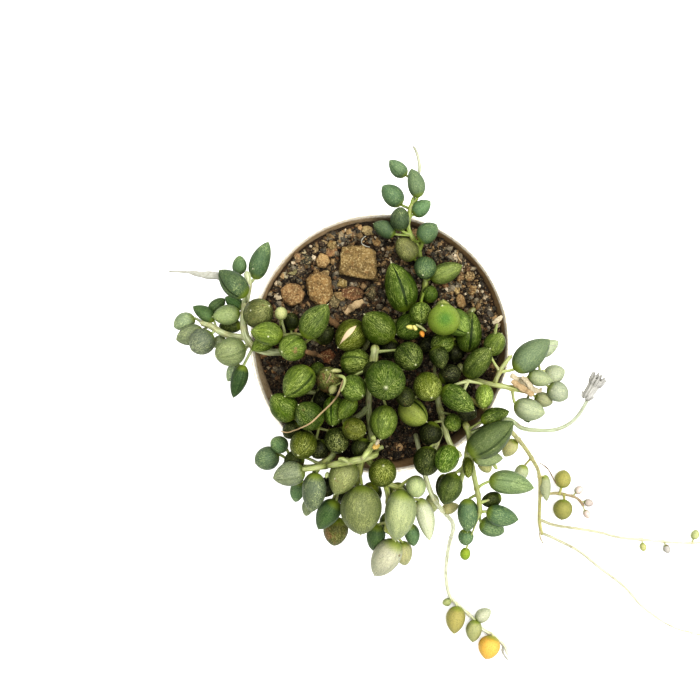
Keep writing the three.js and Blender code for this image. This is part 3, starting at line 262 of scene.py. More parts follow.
        (-8.3, -34.9, 6.8, 7, 260, 0, 0.54, "deep"), (-8.5, -29.2, 7.6, 8.2, 340, 15, 0.57, "olive"),
        (-11, -23.8, 6, 9, 232, 10, 0.68, "mid"), (10.7, -6, 9.4, 10.4, 310, 50, 0.57, "mid"),
        (3.2, -26.5, 9.4, 11.8, 258, 20, 0.6, "fresh"), (-8.7, -16.8, 8.8, 9.4, 318, 35, 0.56, "fresh"),
        (-15.7, -17.4, 2.8, 3.4, 240, 20, 0.57, "youngLeaf"), (3.5, -13.7, 13.4, 13.8, 260, 70, 0.51, "mid"),
    ]},
]


def eased(share):
    # A share from 0 to 1 with a soft start and end: share^2 (3 - 2 share)
    return share * share * (3 - 2 * share)


def soilTop(x, y):
    # Height of the soil: a slow and a quick wave in x and y about the level
    slow = 0.7 * np.sin(0.16 * x + 1.1) * np.cos(0.14 * y + 0.4)
    return soilSizes["level"] + slow + 0.35 * np.sin(0.52 * x - 0.31 * y) + 0.25 * np.cos(0.44 * y + 0.61 * x)


def soilBank(x, y):
    # How far the soil banks up against the wall on the north side
    nearWall, north = np.clip((np.hypot(x, y) - 31) / 9, 0, 1), np.clip((y + 12) / 16, 0, 1)
    return soilSizes["bank"] * eased(nearWall) * eased(north)


def fromAbove(planX, planY, z):
    # True place of a point seen from above when its height is z, and how much larger it is
    scale = (viewing["aboveRim"] + potSizes["height"] - z) / viewing["aboveRim"]
    return viewing["x"] + (planX - viewing["x"]) * scale, viewing["y"] + (planY - viewing["y"]) * scale, scale


def stoneCovers(stone, x, y, margin):
    # Whether places lie within a stone's outline, a rounded square, grown by a margin
    stoneX, stoneY, width, length, turn = stone[1:6]
    c, s = math.cos(math.radians(turn)), math.sin(math.radians(turn))
    across = ((x - stoneX) * c + (y - stoneY) * s) / (width / 2 + margin)
    along = ((y - stoneY) * c - (x - stoneX) * s) / (length / 2 + margin)
    return across ** 4 + along ** 4 < 1


def groundAt(x, y):
    # Height of the soil with its grit, or of the stone that lies there
    height = soilTop(x, y) + layRules["grit"]
    for stone in stones:
        top = soilTop(*stone[1:3]) + stone[6] + layRules["overStone"]
        height = np.where(stoneCovers(stone, x, y, layRules["stoneMargin"]) & (top > height), top, height)
    return height


def stemBed(x, y):
    # Height at which stems run: along the soil, up over the rim, then slowly down outside it
    settings = {"fall": 0.3, "northFall": 0.22, "climbFrom": 27, "climbWidth": 13.5, "overSoil": 0.8,
                "overRim": 1.6, "less": 1.2, "outside": 42, "fallFrom": 44, "outsideRim": 1.7}
    radius, rim = np.hypot(x, y), potSizes["height"]
    fall = settings["fall"] - settings["northFall"] * (y / np.maximum(radius, 1))
    climb = eased(np.clip((radius - settings["climbFrom"]) / settings["climbWidth"], 0, 1))
    rise = rim + settings["overRim"] - soilSizes["level"] - settings["less"]
    inside = groundAt(x, y) + settings["overSoil"] + climb * rise
    outside = rim + settings["outsideRim"] - fall * (radius - settings["fallFrom"])
    return np.where(radius < settings["outside"], inside, outside)


laid = {"balls": np.zeros((6000, 4)), "owner": np.zeros(6000, int), "count": 0}


def layBalls(balls, owner):
    # Keeps balls (x, y, z, radius) that a leafy stem takes up, for what is laid after it
    start = laid["count"]
    laid["count"] += len(balls)
    laid["balls"][start:laid["count"]] = balls
    laid["owner"][start:laid["count"]] = owner


def lowestClear(x, y, balls, owner):
    # Lowest height at which a row of balls around (x, y) is clear of the soil, the rim and all laid before
    settings = {"around": 0.75, "aroundLift": 0.66, "underStems": 3.5, "nothing": -1e9}
    bx, by, bz, br = x + balls[:, 0], y + balls[:, 1], balls[:, 2], balls[:, 3]
    radius = np.hypot(bx, by)
    angle = np.arange(6) * math.pi / 3
    px = bx[:, None] + settings["around"] * br[:, None] * np.cos(angle)
    py = by[:, None] + settings["around"] * br[:, None] * np.sin(angle)
    beside = groundAt(px, py).max(1) + settings["aroundLift"] * br - bz
    onSoil = np.maximum(groundAt(bx, by) + br - bz, beside)
    height = np.where(radius < layRules["rimTubeRadius"], onSoil, stemBed(bx, by) - settings["underStems"] - bz)
    reach = br + layRules["rimTubeSize"] + layRules["stemClearance"]
    offset = np.abs(radius - layRules["rimTubeRadius"])
    overRim = layRules["rimTubeHeight"] + np.sqrt(np.maximum(reach ** 2 - offset ** 2, 0)) - bz
    height = np.maximum(height, np.where(offset < reach, overRim, settings["nothing"])).max()
    others = laid["balls"][:laid["count"]]
    own = laid["owner"][:laid["count"]] == owner
    room = np.where(own, -layRules["sinkTogether"], layRules["stemClearance"])
    touching = br[:, None] + others[:, 3] + room
    apart = np.hypot(bx[:, None] - others[:, 0], by[:, None] - others[:, 1])
    lift = others[:, 2] + np.sqrt(np.maximum(touching ** 2 - apart ** 2, 0)) - bz[:, None]
    lift = np.where(apart < touching, lift, settings["nothing"])
    return max(height, lift.max()) if lift.size else height


def pearlWidth(t, sharpness):
    # Width along a pearl from base to tip, at most 1: t^0.5 (1 - t)^sharpness over its peak
    peak = 0.5 / (0.5 + sharpness)
    return np.sqrt(t) * (1 - t) ** sharpness / (peak ** 0.5 * (1 - peak) ** sharpness)


def directionOf(turn, rise):
    # The unit vector that points a turn round from +X and rises above the level, both in degrees
    turn, rise = math.radians(turn), math.radians(rise)
    return np.array([math.cos(rise) * math.cos(turn), math.cos(rise) * math.sin(turn), math.sin(rise)])


def layPearl(row, owner):
    # The pearl drops on what lies below it, and rolls a little aside where that brings it lower
    planX, planY, planWidth, planLength, turn, rise, sharpness = row[:7]
    fixed = row[7] if len(row) > 8 else None
    direction = directionOf(turn, rise)
    t = np.array([0.1, 0.3, 0.5, 0.7, 0.88])

    def standing(shiftX, shiftY, startZ):
        x, y, scale = fromAbove(planX + shiftX, planY + shiftY, startZ)
        width, length = planWidth * scale, planLength * scale
        balls = np.column_stack([np.outer((t - 0.5) * length, direction), width / 2 * pearlWidth(t, sharpness)])
        z = fixed if fixed is not None else lowestClear(x, y, balls, owner)
        return {"centre": np.array([x, y, z]), "direction": direction, "width": width, "length": length,
                "sharpness": sharpness, "balls": balls, "look": row[-1]}

    pearl = standing(0, 0, fixed if fixed is not None else soilSizes["level"] + 8)
    for again in range(3):
        pearl = standing(0, 0, pearl["centre"][2])
    best = (pearl["centre"][2], 0, 0)
    for share in (0.33, 0.67, 1):
        reach = share * layRules["settleReach"]
        for angle in np.arange(8) * math.pi / 4:
            shift = reach * math.cos(angle), reach * math.sin(angle)
            cost = standing(*shift, pearl["centre"][2])["centre"][2] + layRules["shiftCost"] * reach
            if cost < best[0]:
                best = (cost, *shift)
    for again in range(2):
        pearl = standing(*best[1:], pearl["centre"][2])
    layBalls(pearl["balls"] + np.append(pearl["centre"], 0), owner)
    return pearl


def cutCorners(points):
    # One round of corner cutting at a quarter and three quarters of each stretch, which keeps both ends
    cut = [points[0]]
    for i, (start, end) in enumerate(zip(points, points[1:])):
        mix = [[a + (b - a) * share for a, b in zip(start, end)] for share in (0.25, 0.75)]
        if i > 0:
            cut.append(mix[0])
        if i + 2 < len(points):
            cut.append(mix[1])
    return cut + [points[-1]]


def lengthsAlong(path):
    # How long a path is up to each of its points
    return np.append(0, np.cumsum(np.linalg.norm(np.diff(path, axis=0), axis=1)))


def curvePoints(places, spacing, fewest=8, count=None):
    # Points evenly spaced by length on the centripetal Catmull-Rom curve through places
    ends = np.vstack([2 * places[0] - places[1], places, 2 * places[-1] - places[-2]])

    def at(t):
        p = (len(places) - 1) * t
        i = np.minimum(np.floor(p).astype(int), len(places) - 2)
        w = (p - i)[:, None]
        p0, p1, p2, p3 = ends[i], ends[i + 1], ends[i + 2], ends[i + 3]
        steps = (p1 - p0, p2 - p1, p3 - p2)
        dt0, dt1, dt2 = [np.sqrt(np.linalg.norm(step, axis=1))[:, None] for step in steps]
        t1 = ((p1 - p0) / dt0 - (p2 - p0) / (dt0 + dt1) + (p2 - p1) / dt1) * dt1
        t2 = ((p2 - p1) / dt1 - (p3 - p1) / (dt1 + dt2) + (p3 - p2) / dt2) * dt1
        return p1 + w * (t1 + w * ((-3 * p1 + 3 * p2 - 2 * t1 - t2) + w * (2 * p1 - 2 * p2 + t1 + t2)))

    t = np.linspace(0, 1, 201)
    travelled = lengthsAlong(at(t))
    count = count or max(fewest, math.floor(travelled[-1] / spacing + 0.5))
    return at(np.interp(np.linspace(0, 1, count + 1) * travelled[-1], travelled, t))


def layStem(radius, rooted, points, owner, earlier):
    # A stem without heights is draped over what lies below; a branch starts on the nearest stem laid before it
    places = []
    path = cutCorners(cutCorners(points))
    for planX, planY, *height in path:
        z = height[0] if height else soilSizes["level"] + 3
        for again in range(4):
            x, y = fromAbove(planX, planY, z)[:2]
            if not height:
                z = max(float(stemBed(x, y)), lowestClear(x, y, np.array([[0, 0, 0, radius]]), owner))
        places.append([x, y, z])
    places = np.array(places, float)
    heights = places[:, 2].copy()
    padded = np.concatenate([heights[:1], heights, heights[-1:]])
    lifted = np.maximum(heights, (padded[:-2] + heights + padded[2:]) / 3)
    places[:, 2] = np.where([len(point) > 2 for point in path], heights, lifted)
    if rooted:
        x, y = places[0, :2]
        level = soilSizes["level"]
        places = np.vstack([[x, y, level - layRules["holeDepth"]], [x, y, level - 1], places])
    elif earlier:
        samples = np.vstack([stem["samples"] for stem in earlier])
        distance = np.hypot(samples[:, 0] - places[0, 0], samples[:, 1] - places[0, 1])
        places[0] = samples[np.argmin(distance)]
    knots = curvePoints(places, layRules["stemStep"], 3)
    samples = []
    for start, end in zip(knots, knots[1:]):
        pieces = math.ceil(np.linalg.norm(end - start))
        samples.append(start + (end - start) * (np.arange(pieces) / pieces)[:, None])
    samples = np.vstack([*samples, knots[-1:]])
    layBalls(np.column_stack([samples, np.full(len(samples), radius)]), owner)
    return {"places": places, "samples": samples, "radius": radius, "rooted": rooted, "roots": []}


def bentPath(t, base, outward, root):
    # A quadratic curve: (1 - t)^2 base + 2 t (1 - t) outward + t^2 root
    return (1 - t) ** 2 * base + 2 * t * (1 - t) * outward + t ** 2 * root


def layPetiole(pearl, stems, owner):
    # A bent stalk from inside the pearl's base to the place on its own stems that is reached most easily
    settings = {"inside": 0.36, "ahead": 0.4, "lowest": 2, "near": 24, "room": 0.3, "lip": 1.2,
                "wallRoom": 0.8, "soilRoom": 0.4}
    base = pearl["centre"] - settings["inside"] * pearl["length"] * pearl["direction"]
    outward = pearl["centre"] - (0.5 * pearl["length"] + settings["ahead"]) * pearl["direction"]
    outward[2] = max(outward[2], settings["lowest"])
    others = laid["balls"][:laid["count"]][laid["owner"][:laid["count"]] != owner]
    t = np.linspace(0, 1, 11)[:, None]
    wide, inner = layRules["petioleRadius"] + settings["room"], potSizes["rimInnerRadius"]
    best = None
    for stem in stems:
        for i, root in enumerate(stem["samples"][:-1]):
            if stem["rooted"] and i < layRules["holeDepth"] + 2:
                continue
            onward = (root - outward) / np.linalg.norm(root - outward)
            cost = np.linalg.norm(base - root) + layRules["bendCost"] * (1 + onward @ pearl["direction"])
            if best and cost > best["cost"]:
                continue
            path = bentPath(t, base, outward, root)
            near = np.abs(others[:, :3] - path[5]).max(1) < settings["near"]
            gaps = np.linalg.norm(path[:, None] - others[near, :3], axis=2)
            touching = (gaps < wide + others[near, 3]).sum()
            radius, height = np.hypot(path[:, 0], path[:, 1]), path[:, 2]
            rimGap = np.hypot(radius - layRules["rimTubeRadius"], height - layRules["rimTubeHeight"])
            inWall = ((radius > inner - settings["lip"])
                      & (radius < potSizes["rimRadius"] + settings["wallRoom"])
                      & (height < potSizes["height"] + settings["wallRoom"]))
            onRim = rimGap < layRules["rimTubeSize"] + layRules["petioleRadius"] + settings["room"]
            ground = groundAt(path[:, 0], path[:, 1]) + settings["soilRoom"]
            inSoil = (radius < inner) & (height < ground)
            cost += layRules["clashCost"] * (touching + (inWall | onRim).sum() + inSoil.sum())
            if best is None or cost < best["cost"]:
                best = {"cost": cost, "base": base, "outward": outward, "root": root, "stem": stem, "at": i}
    path = bentPath(np.linspace(0, 1, 9)[:, None], base, outward, best["root"])
    layBalls(np.column_stack([path, np.full(len(path), layRules["petioleRadius"])]), owner)
    best["stem"]["roots"].append(best["at"])
    return best


for owner, leafy in enumerate(plant):
    leafy["laidStems"] = []
    for stem in leafy["stems"]:
        leafy["laidStems"].append(layStem(*stem, owner, leafy["laidStems"]))
    leafy["laidPearls"] = [layPearl(row, owner) for row in leafy["pearls"]]
for owner, leafy in enumerate(plant):
    leafy["petioles"] = [layPetiole(pearl, leafy["laidStems"], owner) for pearl in leafy["laidPearls"]]
print("laid", sum(len(leafy["pearls"]) for leafy in plant), "pearls on", len(plant), "leafy stems")


def closedFaces(rings, sides):
    # Quads between neighbouring rings of a closed grid and a fan at each end; the end points come last
    i, j = np.arange(rings - 1)[:, None], np.arange(sides)
    a, b = i * sides + j, i * sides + (j + 1) % sides
    quads = np.stack([a, b, b + sides, a + sides], -1).reshape(-1, 4)
    first, last, top = rings * sides, rings * sides + 1, (rings - 1) * sides
    fans = [[np.full(sides, first), (j + 1) % sides, j], [np.full(sides, last), top + j, top + (j + 1) % sides]]
    return {"quads": quads, "fans": np.concatenate([np.stack(fan, -1) for fan in fans])}


def joinShapes(shapes):
    # One shape from several, each a dictionary of points, quads, fans and values per point
    shift = np.cumsum([0] + [len(shape["points"]) for shape in shapes])
    return {key: np.concatenate([shape[key] + (start if key in ("quads", "fans") else 0)
                                 for shape, start in zip(shapes, shift)]) for key in shapes[0]}


def skinValues(many, tint, seed):
    # The same tint and seed for each of many points
    return {"skinTint": np.tile([*tint, 1.0], (many, 1)), "skinSeed": np.full(many, float(seed))}


def addPiece(name, shape, material, replaced=(), smooth=True):
    # Puts a shape, given in millimetres, into a mesh object at the origin, with its values as attributes
    mesh = bpy.data.meshes.new(name)
    faceSets = [shape[key] for key in ("quads", "fans") if key in shape]
    corners = np.concatenate([faces.ravel() for faces in faceSets])
    sizes = np.concatenate([np.full(len(faces), faces.shape[1]) for faces in faceSets])
    mesh.vertices.add(len(shape["points"]))
    mesh.vertices.foreach_set("co", (shape["points"] * metre).ravel())
    mesh.loops.add(len(corners))
    mesh.loops.foreach_set("vertex_index", corners.astype(np.int32))
    mesh.polygons.add(len(sizes))
    mesh.polygons.foreach_set("loop_start", np.append(0, np.cumsum(sizes)[:-1]).astype(np.int32))
    mesh.polygons.foreach_set("use_smooth", np.full(len(sizes), smooth))
    mesh.update(calc_edges=True)
    kinds = {1: ("FLOAT", "value"), 3: ("FLOAT_VECTOR", "vector"), 4: ("FLOAT_COLOR", "color")}
    for key, values in shape.items():
        if key not in ("points", "quads", "fans"):
            kind, field = kinds[1 if values.ndim == 1 else values.shape[1]]
            made = mesh.attributes.new(key, kind, "POINT")
            made.data.foreach_set(field, values.astype(np.float32).ravel())
    mesh.materials.append(material)
    piece = bpy.data.objects.new(name, mesh)
    bpy.context.scene.collection.objects.link(piece)
    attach(piece, "root")
    if replaced:
        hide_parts(*replaced)
    return piece


def latticeNoise(points, spacing, seed):
    # Smooth noise from -1 to 1: seeded values on a cubic lattice, blended with eased distances
    lattice = np.random.RandomState(seed).uniform(-1, 1, (32, 32, 32))
    cell = np.asarray(points, float) / spacing
    corner = np.floor(cell).astype(int)
    share = eased(cell - corner)
    total = 0
    for step in np.ndindex(2, 2, 2):
        place = (corner + step) % 32
        total = total + np.where(step, share, 1 - share).prod(1) * lattice[tuple(place.T)]
    return total


def tubeShape(path, radii, sides=10, tint=(0.5, 0.5, 0.5), seed=0.0, flat=1.0):
    # A tube closed at both ends: path point + radius (cos a side + sin a across), on frames that turn least
    bulge = 0.35
    path = np.asarray(path, float)
    radii = np.broadcast_to(np.asarray(radii, float), len(path))
    ahead = np.gradient(path, axis=0)
    ahead /= np.linalg.norm(ahead, axis=1)[:, None]
    side = np.cross(ahead[0], (0.0, 0.0, 1.0) if abs(ahead[0, 2]) < 0.9 else (0.0, 1.0, 0.0))
    sideways = []
    for direction in ahead:
        side = side - (side @ direction) * direction
        side = side / np.linalg.norm(side)
        sideways.append(side)
    sideways = np.array(sideways)
    across = np.cross(ahead, sideways)
    angle = np.linspace(0, 2 * math.pi, sides, endpoint=False)
    cosine, sine = np.cos(angle), np.sin(angle)
    ring = cosine[None, :, None] * sideways[:, None] + flat * sine[None, :, None] * across[:, None]
    rings = path[:, None] + radii[:, None, None] * ring
    points = np.vstack([rings.reshape(-1, 3), path[0] - bulge * radii[0] * ahead[0],
                        path[-1] + bulge * radii[-1] * ahead[-1]])
    travelled = lengthsAlong(path)
    place = np.stack([np.tile(cosine, len(path)), np.tile(sine, len(path)), np.repeat(travelled, sides)], -1)
    tints = np.repeat(np.broadcast_to(np.asarray(tint, float), (len(path), 3)), sides, 0)
    shape = {"points": points, **closedFaces(len(path), sides), **skinValues(len(points), (0, 0, 0), seed),
             "skinPlace": np.vstack([place, [0, 0, 0], [0, 0, travelled[-1]]])}
    shape["skinTint"][:, :3] = np.vstack([tints, tints[0], tints[-1]])
    return shape


def roundedEnds(path, radius, reach):
    # Radii along a path that close in a half circle over the last stretch at either end
    travelled = lengthsAlong(path)
    left = np.minimum(travelled, travelled[-1] - travelled)
    return radius * np.sqrt(1 - (1 - np.clip(left / reach, 0, 1)) ** 2 * 0.96)


def addNode(tree, kind, links=None, **settings):
    # One shader node: links gives each input a value or another node's output
    made = tree.nodes.new("ShaderNode" + kind)
    for key, value in settings.items():
        setattr(made, key, value)
    for key, value in (links or {}).items():
        if isinstance(value, bpy.types.NodeSocket):
            tree.links.new(value, made.inputs[key])
        else:
            made.inputs[key].default_value = value
    return made


def mixColour(tree, factor, first, second, blending="MIX"):
    # Two colours mixed by a factor; one given as three numbers gets its alpha here
    first, second = [(*value, 1) if isinstance(value, tuple) else value for value in (first, second)]
    return addNode(tree, "Mix", {0: factor, 6: first, 7: second}, data_type="RGBA",
                   blend_type=blending).outputs[2]


def tinted(tree, colour, *factors):
    # A colour times one factor for each of red, green and blue
    return mixColour(tree, 1.0, colour, factors, "MULTIPLY")


def ramp(tree, value, low, high, lowOut=0.0, highOut=1.0):
    # An eased step of a value from lowOut at low to highOut at high
    return addNode(tree, "MapRange", {0: value, 1: low, 2: high, 3: lowOut, 4: highOut},
                   interpolation_type="SMOOTHSTEP").outputs[0]


def maths(tree, operation, first, second=0.0):
    return addNode(tree, "Math", {0: first, 1: second}, operation=operation).outputs[0]


def product(tree, first, second):
    return maths(tree, "MULTIPLY", first, second)


def noiseAt(tree, place, scale, detail=2.0, roughness=0.5):
    return addNode(tree, "TexNoise", {"Vector": place, "Scale": scale, "Detail": detail,
                                      "Roughness": roughness}).outputs[0]


def splitVector(tree, vector):
    return addNode(tree, "SeparateXYZ", {0: vector}).outputs


def surfaceNormal(tree):
    return addNode(tree, "NewGeometry").outputs["Normal"]


def attribute(tree, name, output):
    return addNode(tree, "Attribute", attribute_name=name).outputs[output]


def newGroup(name, inputs, outputs):
    # An empty node group with named sockets, its input node's sockets and its output node's sockets
    group = bpy.data.node_groups.new(name, "ShaderNodeTree")
    for socket, kind, value in inputs:
        made = group.interface.new_socket(socket, in_out="INPUT", socket_type="NodeSocket" + kind)
        if value is not None:
            made.default_value = value
    for socket, kind in outputs:
        group.interface.new_socket(socket, in_out="OUTPUT", socket_type="NodeSocket" + kind)
    return group, group.nodes.new("NodeGroupInput").outputs, group.nodes.new("NodeGroupOutput").inputs


def makeFleckGroup():
    # Fine pale mottling from a noise, and sparse white dots from the hearts of Voronoi cells
    settings = {"edge": 0.72, "coverReach": 0.3, "soft": 0.14, "detail": 3.0, "roughness": 0.65,
                "cells": 330.0, "heart": (0.13, 0.06)}
    group, given, result = newGroup("pale_flecks", [
        ("Place", "Vector", None), ("Fineness", "Float", 2200.0), ("Cover", "Float", 0.5),
        ("Dots", "Float", 0.5)], [("Mottle", "Float"), ("Dot", "Float")])
    noise = noiseAt(group, given["Place"], given["Fineness"], settings["detail"], settings["roughness"])
    edge = maths(group, "SUBTRACT", settings["edge"], product(group, given["Cover"], settings["coverReach"]))
    mottle = ramp(group, noise, edge, maths(group, "ADD", edge, settings["soft"]))
    cells = addNode(group, "TexVoronoi", {"Vector": given["Place"], "Scale": settings["cells"]}).outputs
    chance = addNode(group, "SeparateColor", {0: cells["Color"]}).outputs[0]
    chosen = maths(group, "LESS_THAN", chance, given["Dots"])
    group.links.new(mottle, result["Mottle"])
    group.links.new(product(group, ramp(group, cells["Distance"], *settings["heart"]), chosen), result["Dot"])
    return group


def makeStreakGroup():
    # Streaks that run along a stem or from base to tip of a pearl, from a noise stretched along it
    settings = {"seedShift": 37.0, "broad": 0.6, "fine": 2.6, "fineRoughness": 0.6}
    group, given, result = newGroup("long_streaks", [
        ("Place", "Vector", None), ("Seed", "Float", 0.0), ("Around", "Float", 8.0),
        ("Along", "Float", 1.2)], [("Streak", "Float"), ("Fine", "Float")])
    x, y, z = splitVector(group, given["Place"])
    shift = product(group, given["Seed"], settings["seedShift"])
    x, y = [maths(group, "ADD", product(group, value, given["Around"]), shift) for value in (x, y)]
    place = addNode(group, "CombineXYZ", {0: x, 1: y, 2: product(group, z, given["Along"])}).outputs[0]
    group.links.new(noiseAt(group, place, settings["broad"]), result["Streak"])
    group.links.new(noiseAt(group, place, settings["fine"], 2.0, settings["fineRoughness"]), result["Fine"])
    return group


def makeDustGroup():
    # Pale dust where a surface faces up, broken up by a noise; on the pearls these pale patches also serve as a
    # painted sheen on their tops
    settings = {"upward": (0.15, 0.95), "patches": 420.0, "detail": 4.0, "patchy": (0.35, 0.75)}
    group, given, result = newGroup("settled_dust_and_sheen", [
        ("Colour", "Color", (0.5, 0.5, 0.5, 1)), ("Dust", "Color", (0.6, 0.58, 0.5, 1)),
        ("Amount", "Float", 0.2), ("Place", "Vector", None)], [("Colour", "Color")])
    upward = ramp(group, splitVector(group, surfaceNormal(group))[2], *settings["upward"])
    noise = noiseAt(group, given["Place"], settings["patches"], settings["detail"])
    patchy = product(group, upward, ramp(group, noise, *settings["patchy"]))
    amount = product(group, patchy, given["Amount"])
    group.links.new(mixColour(group, amount, given["Colour"], given["Dust"]), result["Colour"])
    return group


fleckGroup, streakGroup, dustAndSheenGroup = makeFleckGroup(), makeStreakGroup(), makeDustGroup()


def linkGroup(tree, group, **links):
    return addNode(tree, "Group", links, node_tree=group).outputs


def streaksOf(tree, around, along, place=None):
    # Long streaks on the piece's own places along and round it
    place = attribute(tree, "skinPlace", "Vector") if place is None else place
    return linkGroup(tree, streakGroup, Place=place, Seed=attribute(tree, "skinSeed", "Fac"), Around=around,
                     Along=along)


def newMaterial(name, roughness, **constants):
    # A material, its tree, its Principled shader and the object's own coordinates
    material = bpy.data.materials.new(name)
    material.use_nodes = True
    tree = material.node_tree
    shader = tree.nodes["Principled BSDF"]
    shader.inputs["Roughness"].default_value = roughness
    for key, value in constants.items():
        shader.inputs[key.replace("_", " ")].default_value = value
    return material, tree, shader, addNode(tree, "TexCoord").outputs["Object"]


def joinShader(tree, shader, colour, roughness, height, distance, strength):
    # Joins a colour, a roughness and a bump of a height to the shader
    bump = addNode(tree, "Bump", {"Height": height, "Distance": distance, "Strength": strength}).outputs[0]
    for value, name in ((colour, "Base Color"), (roughness, "Roughness"), (bump, "Normal")):
        tree.links.new(value, shader.inputs[name])


def pearlSkinMaterial():
    # Mottled green with pale dashes towards the tip, a dark window line, corky patches or a dry scar
    colours = {"fleck": (0.22, 0.23, 0.10), "tip": (0.42, 0.43, 0.29), "base": (0.20, 0.25, 0.03),
               "corky": (0.085, 0.052, 0.018), "corkyLight": (0.20, 0.135, 0.065), "scar": (0.42, 0.34, 0.23),
               "dot": (0.38, 0.39, 0.28), "dustAndSheen": (0.28, 0.30, 0.16)}
    sizes = {"warp": 260.0, "grain": 2600.0, "patch": 240.0, "cork": 210.0, "fleck": 2500.0}
    material, tree, shader, place = newMaterial(
        "pearl_skin", 0.5, Specular_IOR_Level=0.13, Subsurface_Weight=0.05, Subsurface_Scale=0.001,
        Subsurface_Radius=(0.6, 1.0, 0.15))
    tint, striped = attribute(tree, "skinTint", "Color"), attribute(tree, "skinTint", "Alpha")
    scarred = attribute(tree, "skinMarks", "Alpha")
    marks = attribute(tree, "skinMarks", "Color")
    window, corkiness, flecks = addNode(tree, "SeparateColor", {0: marks}).outputs
    skinPlace = attribute(tree, "skinPlace", "Vector")
    warp = addNode(tree, "TexNoise", {"Vector": place, "Scale": sizes["warp"], "Detail": 2.0}).outputs["Color"]
    warped = addNode(tree, "VectorMath", {0: warp, 1: (0.16, 0.16, 0.05), 2: skinPlace},
                     operation="MULTIPLY_ADD").outputs[0]
    cosine, sine, along = splitVector(tree, skinPlace)
    streak, dashes = streaksOf(tree, 7.0, 2.6, warped), streaksOf(tree, 9.0, 3.4, warped)
    fleck = linkGroup(tree, fleckGroup, Place=place, Fineness=sizes["fleck"], Cover=0.62, Dots=0.06)
    grain = noiseAt(tree, place, sizes["grain"])
    # Stripes and fine grain
    streaked = mixColour(tree, ramp(tree, streak["Streak"], 0.36, 0.66), tinted(tree, tint, 0.68, 0.72, 0.7),
                         tinted(tree, tint, 1.3, 1.28, 1.2))
    colour = mixColour(tree, striped, tint, streaked)
    colour = mixColour(tree, ramp(tree, grain, 0.5, 0.34, 0.0, 0.5), colour, tinted(tree, tint, 0.45, 0.5, 0.5))
    # Pale dashes and speckles, in patches and more of them towards the tip
    patch = noiseAt(tree, place, sizes["patch"], 3.0)
    where = maths(tree, "ADD", ramp(tree, patch, 0.40, 0.62, 0.3, 0.9), ramp(tree, along, 0.62, 1.0, 0.0, 0.5))
    dashed = product(tree, ramp(tree, dashes["Fine"], 0.50, 0.62, 0.0, 0.6), where)
    speckled = product(tree, fleck["Mottle"], product(tree, where, 0.95))
    pale = product(tree, maths(tree, "MAXIMUM", dashed, speckled), flecks)
    bright = mixColour(tree, 1.0, tinted(tree, tint, 1.5, 1.45, 1.5), colours["fleck"], "ADD")
    colour = mixColour(tree, pale, colour, bright)
    colour = mixColour(tree, ramp(tree, along, 0.2, 0.0, 0.0, 0.8), colour, colours["base"])
    # The window line runs from base to tip on the upper side; a scar is a spindle on the same line
    aside = maths(tree, "ABSOLUTE", maths(tree, "ARCTAN2", sine, cosine))
    line = product(tree, ramp(tree, aside, 0.13, 0.05), ramp(tree, along, 0.06, 0.2))
    colour = mixColour(tree, product(tree, line, window), colour, tinted(tree, colour, 0.2, 0.27, 0.16))
    middle = maths(tree, "POWER", product(tree, maths(tree, "SUBTRACT", along, 0.66), 2.8), 2.0)
    spindle = product(tree, maths(tree, "SUBTRACT", 1.0, middle), 0.2)
    scar = product(tree, ramp(tree, maths(tree, "SUBTRACT", spindle, aside), 0.0, 0.03), scarred)
    colour = mixColour(tree, scar, colour, colours["scar"])
    # Cork, the dry tip and single white dots
    cork = noiseAt(tree, place, sizes["cork"], 5.0, 0.65)
    corky = maths(tree, "ADD", cork, product(tree, corkiness, 0.24))
    corkColour = mixColour(tree, ramp(tree, grain, 0.4, 0.6), colours["corky"], colours["corkyLight"])
    colour = mixColour(tree, ramp(tree, corky, 0.67, 0.74, 0.0, 0.9), colour, corkColour)
    colour = mixColour(tree, ramp(tree, along, 0.99, 1.012, 0.0, 0.95), colour, colours["tip"])
    colour = mixColour(tree, product(tree, fleck["Dot"], 0.85), colour, colours["dot"])
    # Painted light and shade: the colour is lighter where the surface faces up and darker on the sides, as the
    # light from above falls on them
    upward = ramp(tree, splitVector(tree, surfaceNormal(tree))[2], 0.45, 1.0)
    paintedTopLight = mixColour(tree, upward, tinted(tree, colour, 0.86, 0.88, 0.84),
                       tinted(tree, colour, 1.16, 1.13, 1.14))
    # A faint pale layer on upward faces: partly settled dust, partly a painted sheen on the lit tops
    withDustAndSheen = linkGroup(tree, dustAndSheenGroup, Colour=paintedTopLight, Dust=(*colours["dustAndSheen"], 1), Amount=0.05, Place=place)
    height = maths(tree, "ADD", dashes["Fine"], product(tree, corky, 0.8))
    joinShader(tree, shader, withDustAndSheen[0], ramp(tree, streak["Fine"], 0.3, 0.8, 0.38, 0.6), height, 0.0001, 0.6)
    return material


def stalkSkinMaterial():
    # Streaked green stems with a few dry brown scars
    settings = {"scar": (0.19, 0.14, 0.06), "scars": 420.0, "dustAndSheen": (0.38, 0.38, 0.28, 1)}
    material, tree, shader, place = newMaterial("stalk_skin", 0.5, Subsurface_Weight=0.08,
                                                Subsurface_Scale=0.0008, Subsurface_Radius=(0.6, 1.0, 0.3))
    tint = attribute(tree, "skinTint", "Color")
    streak = streaksOf(tree, 5.0, 0.5)
    colour = mixColour(tree, ramp(tree, streak["Streak"], 0.3, 0.7), tinted(tree, tint, 0.62, 0.62, 0.5),
                       tinted(tree, tint, 1.3, 1.3, 1.25))
    scar = noiseAt(tree, place, settings["scars"], 4.0)
    colour = mixColour(tree, ramp(tree, scar, 0.58, 0.74, 0.0, 0.65), colour, settings["scar"])
    withDustAndSheen = linkGroup(tree, dustAndSheenGroup, Colour=colour, Dust=settings["dustAndSheen"], Amount=0.25, Place=place)
    roughness = ramp(tree, streak["Fine"], 0.3, 0.8, 0.42, 0.66)
    joinShader(tree, shader, withDustAndSheen[0], roughness, streak["Fine"], 0.00012, 0.7)
    return material


